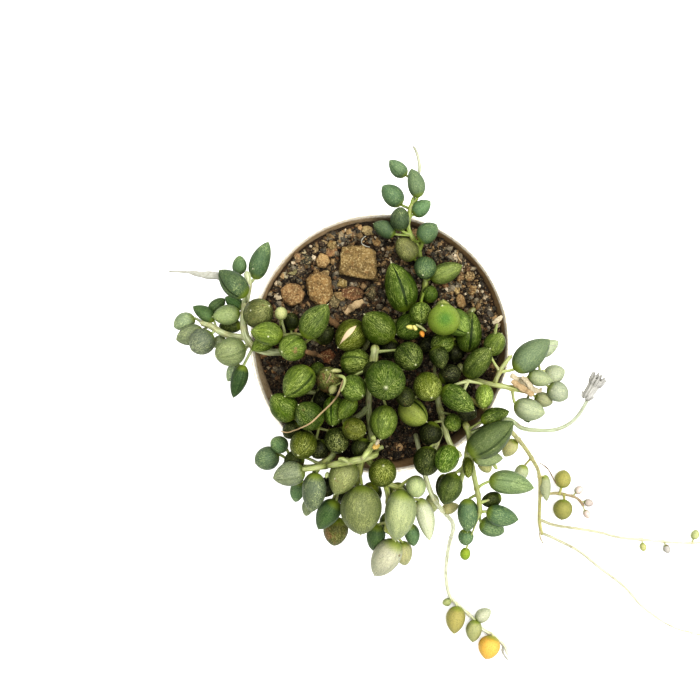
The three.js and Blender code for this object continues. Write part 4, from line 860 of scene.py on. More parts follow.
def dryMaterial(name, dark, light):
    # Dry fibre: long streaks between two colours, with specks
    material, tree, shader, place = newMaterial(name, 0.8)
    streak = streaksOf(tree, 7.0, 0.4)
    colour = mixColour(tree, ramp(tree, streak["Fine"], 0.32, 0.68), dark, light)
    fleck = linkGroup(tree, fleckGroup, Place=place, Fineness=1700.0, Cover=0.4, Dots=0.03)
    colour = mixColour(tree, product(tree, fleck["Mottle"], 0.5), colour, tuple(0.5 * c for c in dark))
    roughness = ramp(tree, streak["Streak"], 0.2, 0.8, 0.68, 0.9)
    joinShader(tree, shader, colour, roughness, streak["Fine"], 0.0002, 0.8)
    return material


def mineralMaterial(name, speck, roughness, relief):
    # Stone and gravel: the piece's own tint, lighter and darker grains, dark pits and rust
    colours = {"speck": (0.44, 0.35, 0.19), "pit": (0.045, 0.028, 0.012), "rust": (0.22, 0.10, 0.03)}
    grain = 1500.0
    material, tree, shader, place = newMaterial(name, roughness)
    tint = attribute(tree, "skinTint", "Color")
    broad = noiseAt(tree, place, grain * 0.22, 3.0)
    fine = noiseAt(tree, place, grain, 5.0, 0.7)
    colour = mixColour(tree, ramp(tree, broad, 0.3, 0.7), tinted(tree, tint, 0.66, 0.62, 0.56),
                       tinted(tree, tint, 1.25, 1.22, 1.2))
    colour = mixColour(tree, ramp(tree, fine, 0.52, 0.62, 0.0, speck), colour, colours["speck"])
    colour = mixColour(tree, ramp(tree, fine, 0.46, 0.34, 0.0, 0.85), colour, colours["pit"])
    rust = noiseAt(tree, place, grain * 0.4)
    colour = mixColour(tree, ramp(tree, rust, 0.58, 0.72, 0.0, 0.4), colour, colours["rust"])
    joinShader(tree, shader, colour, ramp(tree, fine, 0.3, 0.7, roughness - 0.08, min(roughness + 0.08, 1)),
               fine, relief, 0.9)
    return material


def soilMaterial():
    # Dark damp soil with brown patches and pale specks
    material, tree, shader, place = newMaterial("potting_soil", 0.9)
    fine, broad = noiseAt(tree, place, 900.0, 5.0, 0.7), noiseAt(tree, place, 130.0, 3.0)
    colour = mixColour(tree, ramp(tree, fine, 0.35, 0.65), (0.010, 0.007, 0.004), (0.060, 0.040, 0.022))
    colour = mixColour(tree, ramp(tree, broad, 0.45, 0.7, 0.0, 0.6), colour, (0.085, 0.050, 0.026))
    colour = mixColour(tree, ramp(tree, fine, 0.68, 0.76, 0.0, 0.7), colour, (0.20, 0.15, 0.09))
    joinShader(tree, shader, colour, ramp(tree, broad, 0.3, 0.7, 0.82, 0.98), fine, 0.0006, 1.0)
    return material


def clayMaterial():
    # Pale clay: turned lines, faint mottling, a cream lip painted much paler on top as a painted highlight,
    # with darker worn patches, a darker tan band on the inner wall below the lip and a few stains
    colours = {"dark": (0.42, 0.36, 0.28), "light": (0.54, 0.48, 0.38), "line": (0.42, 0.33, 0.22),
               "pit": (0.26, 0.19, 0.12), "lip": (0.93, 0.88, 0.78), "lipWorn": (0.72, 0.63, 0.49),
               "innerDark": (0.28, 0.19, 0.10), "innerLight": (0.50, 0.40, 0.26),
               "innerPit": (0.15, 0.09, 0.04), "foot": (0.27, 0.20, 0.13), "damp": (0.31, 0.25, 0.17)}
    levels = {"lipInside": (0.071, 0.072), "lipOutside": (0.0735, 0.0753), "band": (0.0743, 0.0728),
              "foot": (0.012, 0.0), "damp": (0.07, 0.02)}  # in metres, where each part begins and is full
    material, tree, shader, place = newMaterial("pale_clay", 0.62)
    x, y, z = splitVector(tree, place)
    level = addNode(tree, "CombineXYZ", {0: x, 1: y, 2: 0.0}).outputs[0]
    outward = addNode(tree, "VectorMath", {0: level}, operation="NORMALIZE").outputs[0]
    facing = addNode(tree, "VectorMath", {0: surfaceNormal(tree), 1: outward},
                     operation="DOT_PRODUCT").outputs["Value"]
    within = ramp(tree, facing, -0.1, -0.5)
    fine, broad = noiseAt(tree, place, 900.0, 4.0, 0.65), noiseAt(tree, place, 42.0, 4.0)
    stretched = addNode(tree, "Mapping", {"Vector": place, "Scale": (28.0, 28.0, 900.0)}).outputs[0]
    turned = noiseAt(tree, stretched, 1.0, 3.0)
    colour = mixColour(tree, ramp(tree, broad, 0.3, 0.7), colours["dark"], colours["light"])
    colour = mixColour(tree, ramp(tree, turned, 0.5, 0.75, 0.0, 0.4), colour, colours["line"])
    colour = mixColour(tree, ramp(tree, fine, 0.6, 0.7, 0.0, 0.5), colour, colours["pit"])
    # The lip's top: the clay's cream raised to near white, a painted highlight where the rim faces the light,
    # mottled with darker worn patches
    lipTop = maths(tree, "MAXIMUM", product(tree, within, ramp(tree, z, *levels["lipInside"])),
                   ramp(tree, z, *levels["lipOutside"]))
    lipColour = mixColour(tree, ramp(tree, fine, 0.42, 0.66), colours["lip"], colours["lipWorn"])
    colour = mixColour(tree, lipTop, colour, lipColour)
    shift = product(tree, maths(tree, "SUBTRACT", broad, 0.5), 0.003)
    inside = product(tree, within, ramp(tree, maths(tree, "ADD", z, shift), *levels["band"]))
    inner = mixColour(tree, ramp(tree, broad, 0.35, 0.7), colours["innerDark"], colours["innerLight"])
    inner = mixColour(tree, ramp(tree, fine, 0.5, 0.66, 0.0, 0.5), inner, colours["innerPit"])
    colour = mixColour(tree, inside, colour, inner)
    foot = product(tree, ramp(tree, z, *levels["foot"], 0.0, 0.45), ramp(tree, broad, 0.3, 0.6))
    colour = mixColour(tree, foot, colour, colours["foot"])
    damp = product(tree, ramp(tree, broad, 0.56, 0.7), ramp(tree, z, *levels["damp"]))
    colour = mixColour(tree, product(tree, damp, 0.35), colour, colours["damp"])
    height = maths(tree, "ADD", turned, product(tree, fine, 0.5))
    joinShader(tree, shader, colour, ramp(tree, broad, 0.3, 0.7, 0.56, 0.76), height, 0.00025, 0.6)
    return material


pearlSkin, stalkSkin, soilSkin, clay = pearlSkinMaterial(), stalkSkinMaterial(), soilMaterial(), clayMaterial()
finishes = {key: dryMaterial(*row) for key, row in {
    "pale": ("bleached_stalk", (0.23, 0.22, 0.18), (0.45, 0.45, 0.39)),
    "tan": ("dry_stalk", (0.25, 0.17, 0.085), (0.45, 0.35, 0.21)),
    "papery": ("papery_leaf", (0.25, 0.20, 0.12), (0.52, 0.47, 0.34)),
    "ochre": ("ochre_bud", (0.26, 0.15, 0.03), (0.60, 0.45, 0.14)),
    "bloom": ("spent_bloom", (0.30, 0.29, 0.26), (0.46, 0.45, 0.415)),
    "brown": ("brown_twig", (0.075, 0.042, 0.018), (0.19, 0.115, 0.05)),
}.items()}
finishes["green"] = stalkSkin
stoneSkin = mineralMaterial("grainy_stone", 0.75, 0.9, 0.0009)
gravelSkin = mineralMaterial("mixed_gravel", 0.3, 0.88, 0.0004)
print("made the finishes")


def potShape():
    # A profile turned about the upright axis, cut into short stretches, its corners eased, with a slight wobble
    height, rim, inner, foot, wall = [potSizes[key] for key in (
        "height", "rimRadius", "rimInnerRadius", "footRadius", "wall")]
    lip, shoulder = height - potSizes["lipDepth"], rim - 1.7
    profile = np.array([
        [0.6, 0.5], [foot - 5, 0.5], [foot - 4, 0], [foot - 0.8, 0], [foot, 0.9],
        [foot + (shoulder - foot) * 0.52, lip * 0.5], [shoulder, lip], [rim - 0.2, lip + 1.1], [rim, lip + 3.2],
        [rim - 0.35, lip + 3.7], [rim, lip + 4.2], [rim - 0.35, lip + 5.9], [rim, lip + 6.4],
        [rim - 0.1, height - 0.8], [rim - 0.4, height], [inner + 0.3, height], [inner, height - 0.5],
        [inner - 0.9, lip + 4], [shoulder - wall + 0.8, lip - 1], [shoulder - wall, lip - 3],
        [foot - wall, potSizes["floor"] + 1.5], [foot - wall - 1.5, potSizes["floor"]],
        [0.6, potSizes["floor"]]])
    line = [profile[:1]]
    for start, end in zip(profile, profile[1:]):
        pieces = max(3, math.ceil(np.linalg.norm(end - start) / 1.1))
        line.append(start + (end - start) * (np.arange(1, pieces + 1) / pieces)[:, None])
    line = np.vstack(line)
    for again in range(2):
        line[1:-1] = (line[:-2] + 2 * line[1:-1] + line[2:]) / 4
    sides = potSizes["sides"]
    angle = np.linspace(0, 2 * math.pi, sides, endpoint=False)
    radius, level = np.repeat(line[:, 0], sides), np.repeat(line[:, 1], sides)
    a = np.tile(angle, len(line))
    places = np.column_stack([radius * np.cos(a), radius * np.sin(a), level])
    swing = 0.1 * latticeNoise(places, 9, 11) + 0.06 * np.sin(2 * a + 0.05 * level) * (radius > 5)
    turned = 0.07 * np.sin(level * 1.9 + 0.6 * np.sin(a)) * ((level > 2) & (level < lip) & (radius > foot - 1))
    radius = radius + swing + turned
    uneven = 0.14 * np.sin(3 * a + 1) * (level > height - 0.9)
    points = np.column_stack([radius * np.cos(a), radius * np.sin(a), level + uneven])
    points = np.vstack([points, [0, 0, line[0, 1]], [0, 0, line[-1, 1]]])
    return {"points": points, **closedFaces(len(line), sides)}


pot = addPiece("clay_pot", potShape(), clay, ["pot"])
ring, many = potSizes["drainRing"], potSizes["drainHoles"]
cutters = joinShapes([tubeShape([[ring * math.cos(a), ring * math.sin(a), z] for z in (-4, 0, 4, 9)],
                                potSizes["drainHole"], 24) for a in 2 * math.pi * np.arange(many) / many])
cutter = addPiece("hole_cutter", {key: cutters[key] for key in ("points", "quads", "fans")}, clay)
boring = pot.modifiers.new("drain holes", "BOOLEAN")
boring.object, boring.operation, boring.solver = cutter, "DIFFERENCE", "EXACT"
pot.data = bpy.data.meshes.new_from_object(pot.evaluated_get(bpy.context.evaluated_depsgraph_get()))
pot.modifiers.clear()
bpy.data.objects.remove(cutter)
print("turned the pot and bored its drain holes")


def innerRadius(level):
    # Radius of the soil's side: the pot's inner wall at that height less a small gap
    lip = potSizes["height"] - potSizes["lipDepth"]
    low, shoulder = potSizes["footRadius"] - potSizes["wall"], potSizes["rimRadius"] - 1.7 - potSizes["wall"]
    levels = [potSizes["floor"] + 1.5, lip - 3, lip - 1, lip + 4, potSizes["height"]]
    radii = [low, shoulder, shoulder + 0.6, potSizes["rimInnerRadius"] - 0.9, potSizes["rimInnerRadius"]]
    return np.interp(level, levels, radii) - soilSizes["gap"]


def soilSurface(x, y):
    return soilTop(x, y) + soilBank(x, y)


def soilShape():
    # A turned body whose top follows soilSurface with crumbs of two sizes added
    top, low = soilSizes["level"], potSizes["floor"] + 0.3
    edge = innerRadius(top)
    line = [[0.5, low], [innerRadius(low + 2) - 1.5, low], [innerRadius(low + 2), low + 2]]
    line += [[innerRadius(z), z] for z in np.linspace(low + 6, top - 0.4, 9)]
    line += [[r, top] for r in np.linspace(edge - 0.1, 0.5, 110)]
    line = np.array(line)
    sides = 260
    a = np.tile(np.linspace(0, 2 * math.pi, sides, endpoint=False), len(line))
    radius, level = np.repeat(line[:, 0], sides), np.repeat(line[:, 1], sides)
    above = level > top - 0.01
    bank = soilBank(edge * np.cos(a), edge * np.sin(a))
    spread = 1 + above * (innerRadius(top + bank) / edge - 1) * (radius / edge) ** 8
    radius = radius * spread
    x, y = radius * np.cos(a), radius * np.sin(a)
    flat = np.column_stack([x, y, np.zeros(len(x))])
    crumbs = 0.5 * latticeNoise(flat, 2.1, 21) + 0.34 * latticeNoise(flat, 0.95, 22) - 0.2
    dip = 0.5 * np.exp(-((edge * spread - radius) / 0.8) ** 2)
    level = np.where(above, soilSurface(x, y) + crumbs - dip, level)
    points = np.vstack([np.column_stack([x, y, level]), [0, 0, low], [0, 0, float(soilTop(0.0, 0.0))]])
    return {"points": points, **closedFaces(len(line), sides)}


def looseGrains(count, sizes, seed, tints, weights, sink):
    # Angular grains: jittered icosahedra, stretched, turned at random and half sunk where they lie
    random = np.random.RandomState(seed)
    golden = (1 + 5 ** 0.5) / 2
    corners = np.array([[-1, golden, 0], [1, golden, 0], [-1, -golden, 0], [1, -golden, 0], [0, -1, golden],
                        [0, 1, golden], [0, -1, -golden], [0, 1, -golden], [golden, 0, -1], [golden, 0, 1],
                        [-golden, 0, -1], [-golden, 0, 1]])
    corners = corners / np.linalg.norm(corners[0])
    sidesOf = np.array([[0, 11, 5], [0, 5, 1], [0, 1, 7], [0, 7, 10], [0, 10, 11], [1, 5, 9], [5, 11, 4],
                        [11, 10, 2], [10, 7, 6], [7, 1, 8], [3, 9, 4], [3, 4, 2], [3, 2, 6], [3, 6, 8],
                        [3, 8, 9], [4, 9, 5], [2, 4, 11], [6, 2, 10], [8, 6, 7], [9, 8, 1]])
    reach = (innerRadius(soilSizes["level"] + 2) - 0.5) * np.sqrt(random.uniform(0, 1, count))
    angle = random.uniform(0, 2 * math.pi, count)
    x, y = reach * np.cos(angle), reach * np.sin(angle)
    size = sizes[0] * (sizes[1] / sizes[0]) ** random.uniform(0, 1, count) ** 1.5
    z = soilSurface(x, y) + size * (random.uniform(-0.2, 0.7, count) - sink) + 0.25
    north = np.clip((y + 0.35 * np.abs(x) - 2) / 20, 0, 1)
    balls = laid["balls"][:laid["count"]]
    balls = balls[(balls[:, 3] > 1.2) & (balls[:, 2] < 90)]
    gap = np.sqrt(sum((place[:, None] - balls[:, k]) ** 2 for k, place in enumerate((x, y, z))))
    keep = ~np.any([stoneCovers(stone, x, y, 0.1) for stone in stones], axis=0)
    keep &= (gap - balls[:, 3]).min(1) > 0.7 * size
    keep &= np.hypot(x, y) + 0.7 * size < innerRadius(soilSizes["level"] + soilBank(x, y))
    x, y, z, size, north = x[keep], y[keep], z[keep], size[keep], north[keep]
    count = len(x)
    spin = random.normal(0, 1, (count, 4))
    w, i, j, k = (spin / np.linalg.norm(spin, axis=1)[:, None]).T
    turn = np.stack([1 - 2 * (j * j + k * k), 2 * (i * j - k * w), 2 * (i * k + j * w),
                     2 * (i * j + k * w), 1 - 2 * (i * i + k * k), 2 * (j * k - i * w),
                     2 * (i * k - j * w), 2 * (j * k + i * w), 1 - 2 * (i * i + j * j)], -1).reshape(-1, 3, 3)
    stretch = np.stack([np.ones(count), random.uniform(0.6, 1, count), random.uniform(0.5, 0.9, count)], -1)
    shapes = corners * random.uniform(0.7, 1.25, (count, 12, 1)) * (stretch * size[:, None])[:, None]
    points = np.einsum("nij,nkj->nki", turn, shapes) + np.stack([x, y, z], -1)[:, None]
    fans = (sidesOf + 12 * np.arange(count)[:, None, None]).reshape(-1, 3)
    chance = np.array(weights[0]) * (1 - north)[:, None] + np.array(weights[1]) * north[:, None]
    limit = np.cumsum(chance, 1) / chance.sum(1)[:, None]
    chosen = (random.uniform(0, 1, count)[:, None] > limit).sum(1).clip(0, len(tints) - 1)
    tint = np.array(tints)[chosen] * random.uniform(0.7, 1.3, (count, 1))
    return {"points": points.reshape(-1, 3), "fans": fans,
            "skinTint": np.column_stack([np.repeat(tint, 12, 0), np.ones(12 * count)])}


def roughStone(centre, planes, rows, sides, tint, seed, relief=(0.05, 0.055, 0.045), crisp=40):
    # centre + reach * direction: the reach joins the block's planes softly and is roughened by three noises
    normals, distances = planes
    down = np.linspace(0, math.pi, rows + 2)[1:-1][::-1]
    angle = np.linspace(0, 2 * math.pi, sides, endpoint=False)
    directions = np.stack([np.outer(np.sin(down), np.cos(angle)), np.outer(np.sin(down), np.sin(angle)),
                           np.repeat(np.cos(down)[:, None], sides, 1)], -1).reshape(-1, 3)
    directions = np.vstack([directions, [0, 0, -1], [0, 0, 1]])
    facing = np.maximum(directions @ normals.T / distances, 0)
    smooth = (facing ** crisp).sum(1) ** (-1 / crisp)
    places = directions * smooth[:, None] + np.asarray(centre)
    rough = sum(share * latticeNoise(places, spacing, seed + k)
                for k, (share, spacing) in enumerate(zip(relief, (3.0, 1.2, 0.5))))
    points = np.asarray(centre) + (smooth * (1 + rough))[:, None] * directions
    return {"points": points, **closedFaces(rows, sides),
            "skinTint": np.tile([*tint, 1.0], (len(points), 1))}


def stonePlanes(name, cuts=()):
    # The flat sides of a stone's solid as unit normals and distances from its middle, with any corner cut added
    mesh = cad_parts[name].data
    points = np.zeros(len(mesh.vertices) * 3)
    mesh.vertices.foreach_get("co", points)
    points = points.reshape(-1, 3) / metre
    centre = (points.min(0) + points.max(0)) / 2
    sides = {}
    for side in mesh.polygons:
        normal = np.array(side.normal)
        distance = float(normal @ (np.array(side.center) / metre - centre))
        sides[tuple(np.round(normal, 1))] = (normal, distance)
    normals = np.array([side[0] for side in sides.values()] + [np.array(cut[0]) for cut in cuts])
    distances = np.array([side[1] for side in sides.values()] + [cut[1] for cut in cuts])
    return centre, (normals, distances)


addPiece("potting_soil", soilShape(), soilSkin, ["soil"])
# Tints of the loose grains, and how common each is on the south side and on the north side
gravelTints = [(0.014, 0.010, 0.006), (0.038, 0.024, 0.014), (0.046, 0.043, 0.034), (0.088, 0.052, 0.024),
               (0.18, 0.125, 0.06), (0.27, 0.19, 0.10), (0.19, 0.17, 0.125), (0.40, 0.35, 0.26)]
southNorth = ([6, 5, 2, 1.2, 0.5, 0.2, 0.3, 0.08], [2.1, 2.9, 3.8, 1.6, 2.5, 1.6, 3.6, 1.2])
for name, count, sizes, seed, sink in (("soil_grit", 8200, (0.35, 0.95), 31, 0.0),
                                       ("soil_gravel", 3600, (0.75, 1.8), 32, 0.2)):
    addPiece(name, looseGrains(count, sizes, seed, gravelTints, southNorth, sink), gravelSkin,
             smooth=False)

# Pebbles between the stones: x, y as seen from above, half width, half length, turn and tint
pebbles = [
    (-16.3, 30.2, 1.9, 1.5, 15, (0.22, 0.13, 0.063)), (-12.6, 19.8, 1.8, 1.5, 30, (0.17, 0.13, 0.047)),
    (-15, 14.3, 1.6, 2.7, 5, (0.12, 0.1, 0.05)), (-13, 15.8, 1.3, 1.7, 40, (0.24, 0.17, 0.077)),
    (-24.8, 27.7, 2.2, 1.8, 0, (0.05, 0.05, 0.033)), (-29.2, 24, 1.5, 1.3, 60, (0.16, 0.15, 0.072)),
    (-31.5, 22.6, 1.1, 1, 0, (0.24, 0.22, 0.149)), (-27.5, 28.6, 1.4, 1.8, 10, (0.24, 0.17, 0.099)),
    (-25.4, 30.2, 0.9, 0.8, 0, (0.36, 0.33, 0.231)), (-18.8, 33.6, 1.2, 1, 0, (0.22, 0.17, 0.094)),
    (-1.5, 34, 1.2, 2, 20, (0.26, 0.17, 0.072)), (-2.7, 16.8, 1.5, 2.8, 4, (0.09, 0.08, 0.041)),
    (-18.4, 23.2, 1.3, 1.1, 0, (0.17, 0.12, 0.055)), (-33, 12.2, 1.4, 1.2, 10, (0.17, 0.11, 0.055)),
    (21.7, 19.4, 1.2, 1.6, 30, (0.17, 0.09, 0.039)), (33.4, 13.6, 1.2, 1.2, 0, (0.13, 0.09, 0.044)),
    (27, 22, 1.5, 1.3, 15, (0.17, 0.11, 0.05)), (30.8, 17.6, 1.7, 1.5, 50, (0.2, 0.13, 0.055)),
    (25.4, 17.7, 1.1, 1.5, 0, (0.28, 0.21, 0.094)), (23.6, 20.3, 1.3, 1, 20, (0.26, 0.21, 0.105)),
    (-9, 36.4, 1.4, 1.2, 0, (0.15, 0.11, 0.066)), (-13, 36, 1.1, 1, 35, (0.24, 0.2, 0.132)),
    (1.5, 36.2, 1.2, 1, 0, (0.25, 0.18, 0.088)), (-35.3, 8.2, 1.2, 1, 0, (0.17, 0.13, 0.072)),
    (3.6, 31.8, 1.6, 1, 30, (0.24, 0.17, 0.077)), (19.5, 27.5, 1.2, 1, 0, (0.09, 0.07, 0.039)),
    (16.6, 29.2, 1, 1.1, 0, (0.25, 0.11, 0.061)), (-12, 12.2, 1.5, 1.3, 20, (0.11, 0.07, 0.033)),
    (-17.5, 11.6, 1.3, 1.2, 20, (0.13, 0.07, 0.03)), (22, 22.9, 1.4, 0.7, 10, (0.2, 0.09, 0.044)),
    (26.2, 24.8, 0.9, 1.4, 0, (0.22, 0.17, 0.083)), (-21.6, 31.2, 1.3, 1, 30, (0.2, 0.15, 0.083)),
    (-26.4, 24.6, 1.6, 1.5, 0, (0.09, 0.07, 0.05)), (-31.2, 20.4, 1.2, 1, 0, (0.11, 0.08, 0.05)),
    (-6, 12.6, 1.4, 1, 15, (0.09, 0.05, 0.028)), (-22.8, 9.6, 1.6, 1.2, 10, (0.07, 0.04, 0.019)),
]
pebbleShapes = []
for k, (planX, planY, halfWidth, halfLength, turn, tint) in enumerate(pebbles):
    low = 0.8 * min(halfWidth, halfLength)
    level = float(soilSurface(planX, planY)) + 0.45 * low
    x, y = fromAbove(planX, planY, level)[:2]
    random = np.random.RandomState(60 + k)
    angles = np.arange(7) * 2 * math.pi / 7 + random.uniform(-0.35, 0.35, 7) + math.radians(turn)
    normals = [[math.cos(a), math.sin(a), random.uniform(-0.5, 0.6)] for a in angles]
    normals += [[*random.uniform(-0.4, 0.4, 2), 1], [0, 0, -1]]
    normals = np.array(normals) / np.linalg.norm(normals, axis=1)[:, None]
    c, s = math.cos(math.radians(turn)), math.sin(math.radians(turn))
    across, along = normals[:, 0] * c + normals[:, 1] * s, normals[:, 1] * c - normals[:, 0] * s
    distances = np.hypot(np.hypot(across * halfWidth, along * halfLength), normals[:, 2] * low)
    distances = distances * random.uniform(0.85, 1.1, len(distances))
    pebbleShapes.append(roughStone((x, y, level), (normals, distances), 15, 24, tint, 300 + k,
                                   (0.08, 0.07, 0.05), 30))
addPiece("soil_pebbles", joinShapes(pebbleShapes), stoneSkin)

# Sides broken off the large stone: which way each faces and how far it is from the stone's middle
brokenSides = [((0.41, 0.91, 0.0), 6.0), ((-0.2, -0.98, 0.0), 4.65), ((-0.97, 0.2, 0.1), 6.35)]
for k, stone in enumerate(stones):
    name, width, tint = stone[0], stone[3], stone[7]
    centre, planes = stonePlanes(name, brokenSides if name == "stone_large" else ())
    shape = roughStone(centre, planes, *((76, 120) if width > 8 else (34, 48)), tint, 500 + 10 * k)
    addPiece(name + "_rough", shape, stoneSkin, [name])
print("laid the soil, the gravel and", len(stones), "stones")


# Each look: tint, then how strong the dark window line, the corky patches and the pale flecks are.
# The near-black "deep" tint is painted shade, for pearls that lie in shade low in the heap.
looks = {
    "deep": ((0.013, 0.019, 0.002), 0.4, 0.0, 0.5), "mid": ((0.037, 0.064, 0.004), 0.5, 0.0, 0.9),
    "fresh": ((0.073, 0.105, 0.017), 0.4, 0.0, 0.9), "olive": ((0.058, 0.074, 0.005), 0.3, 0.1, 1.0),
    "lightGreen": ((0.291, 0.309, 0.167), 0.3, 0.0, 0.4), "limeLeaf": ((0.259, 0.235, 0.081), 0.0, 0.0, 0.0),
    "youngLeaf": ((0.323, 0.339, 0.164), 0.0, 0.0, 0.2), "blueGreen": ((0.074, 0.122, 0.060), 0.3, 0.0, 0.75),
    "greyGreen": ((0.127, 0.151, 0.095), 0.3, 0.0, 0.95), "paleSage": ((0.146, 0.174, 0.086), 0.3, 0.0, 0.55),
    "oliveSage": ((0.084, 0.090, 0.036), 0.2, 0.2, 0.85), "sage": ((0.134, 0.148, 0.062), 0.2, 0.1, 0.6),
    "shaded": ((0.052, 0.090, 0.034), 0.3, 0.0, 0.3), "teal": ((0.091, 0.140, 0.072), 0.3, 0.0, 0.5),
    "paleTeal": ((0.093, 0.128, 0.068), 0.0, 0.0, 0.3), "hazyLeaf": ((0.315, 0.340, 0.233), 0.1, 0.0, 0.4),
    "paleLeaf": ((0.293, 0.304, 0.185), 0.1, 0.1, 0.3), "brownGreen": ((0.072, 0.075, 0.020), 0.0, 0.6, 1.0),
    "yellowLeaf": ((0.585, 0.383, 0.095), 0.0, 0.1, 0.1), "pinkBud": ((0.435, 0.357, 0.338), 0.0, 0.2, 0.2),
    "dryBud": ((0.274, 0.274, 0.242), 0.0, 0.6, 0.4), "orangeBud": ((0.50, 0.24, 0.05), 0.0, 0.3, 0.3),
    "creamBud": ((0.52, 0.47, 0.17), 0.0, 0.1, 0.2),
}

# How strongly a look is striped from base to tip
stripes = {"deep": 0.8, "mid": 0.85, "fresh": 0.8, "olive": 0.7, "oliveSage": 0.5, "brownGreen": 0.6,
           "limeLeaf": 0.1, "yellowLeaf": 0.1, "lightGreen": 0.4, "shaded": 0.5}

# Pearls with marks of their own: leafy stem, then place in its list and the changes
ownMarks = {
    "stem_heap_north": {1: {"spin": -0.4, "window": 0.7, "flecks": 2.0}, 3: {"spin": 0.22, "scar": 1.0},
        5: {"spin": 0.05, "window": 1.0}},
    "stem_lime": {2: {"flecks": 1.5}, 3: {"spin": 0.1, "window": 1.2, "groove": 2.4},
        4: {"tint": (0.15, 0.18, 0.06)}, 5: {"spin": 0.5, "window": 1.0, "groove": 1.5},
        6: {"heart": 0.62, "spin": 1.4, "tint": (0.20, 0.25, 0.045), "flecks": 0.2}},
    "stem_east_lower": {3: {"tint": (0.22, 0.30, 0.035)}, 9: {"tint": (0.042, 0.062, 0.014)},
        10: {"tint": (0.115, 0.142, 0.068)},
        13: {"tint": (0.078, 0.108, 0.042), "flecks": 0.3, "window": 0.6, "spin": 0.4}},
    "stem_north": {1: {"flecks": 1.5}, 2: {"tint": (0.085, 0.11, 0.032)}},
    "stem_south": {13: {"tint": (0.21, 0.235, 0.12)}},
    "stem_heap_east": {3: {"flecks": 0.6}, 4: {"flecks": 1.2}, 6: {"flecks": 1.5}, 7: {"flecks": 1.4},
        8: {"flecks": 1.4}, 9: {"flecks": 1.3},
        10: {"spin": -0.9, "window": 1.1, "groove": 2.6, "tint": (0.15, 0.19, 0.045)}},
    "stem_heap_west": {6: {"flecks": 1.2}, 7: {"spin": 0.3, "window": 1.0, "groove": 2.0},
        9: {"spin": -0.5, "window": 0.8}, 10: {"corky": 0.6}},
    "stem_west": {11: {"spin": -0.7, "window": 0.9, "groove": 1.5}},
    "stem_heap_middle": {9: {"window": 0.0, "flecks": 0.8}},
    "stem_east_upper": {6: {"flecks": 0.3}},
}

# Pearls that are lighter or darker than their look: leafy stem, then place in its list and how much.
# Partly each pearl's own tone, partly painted shade: the lowest values darken pearls that sit in dark gaps of
# the heap.
shades = {
    "strand_east": {1: 1.08}, "strand_south": {0: 0.8, 1: 1.2, 2: 0.75, 4: 0.7},
    "stem_south": {10: 0.4, 15: 1.16, 14: 0.9}, "stem_south_west": {3: 1.32, 6: 0.7},
    "stem_west": {0: 1.2, 1: 1.32, 2: 1.12, 4: 1.2, 5: 1.12, 6: 1.2, 7: 0.9, 8: 0.7, 9: 1.16, 11: 0.7, 12: 0.8,
                  13: 1.05, 14: 0.9},
    "stem_west_inner": {2: 0.9, 3: 0.9, 4: 1.1, 5: 1.06, 6: 0.62},
    "stem_heap_north": {0: 0.3, 1: 1.16, 2: 1.36, 3: 1.12},
    "stem_north": {2: 1.24, 3: 0.7, 4: 1.06, 5: 0.7, 6: 0.6, 7: 0.9, 9: 0.55, 10: 0.85, 11: 1.16},
    "stem_lime": {0: 0.3, 1: 0.4, 3: 1.08},
    "stem_east_lower": {0: 1.32, 2: 1.2, 4: 1.24, 7: 1.16, 9: 1.32, 10: 1.2, 11: 1.08, 12: 0.8},
    "stem_east_upper": {0: 0.7, 2: 1.06, 4: 0.87, 5: 0.7, 7: 0.65, 8: 1.06, 9: 0.8},
    "stem_heap_west": {0: 0.35, 3: 0.5, 4: 1.08, 5: 0.75, 6: 1.32, 7: 1.12, 8: 0.65},
    "stem_heap_east": {0: 0.25, 1: 0.4, 2: 0.5, 3: 0.4, 4: 1.2, 5: 0.3, 6: 1.15, 7: 1.3, 9: 0.8},
    "stem_heap_middle": {1: 0.8, 2: 0.75, 3: 1.04, 4: 1.06, 5: 0.65, 6: 1.08, 9: 0.9},
}


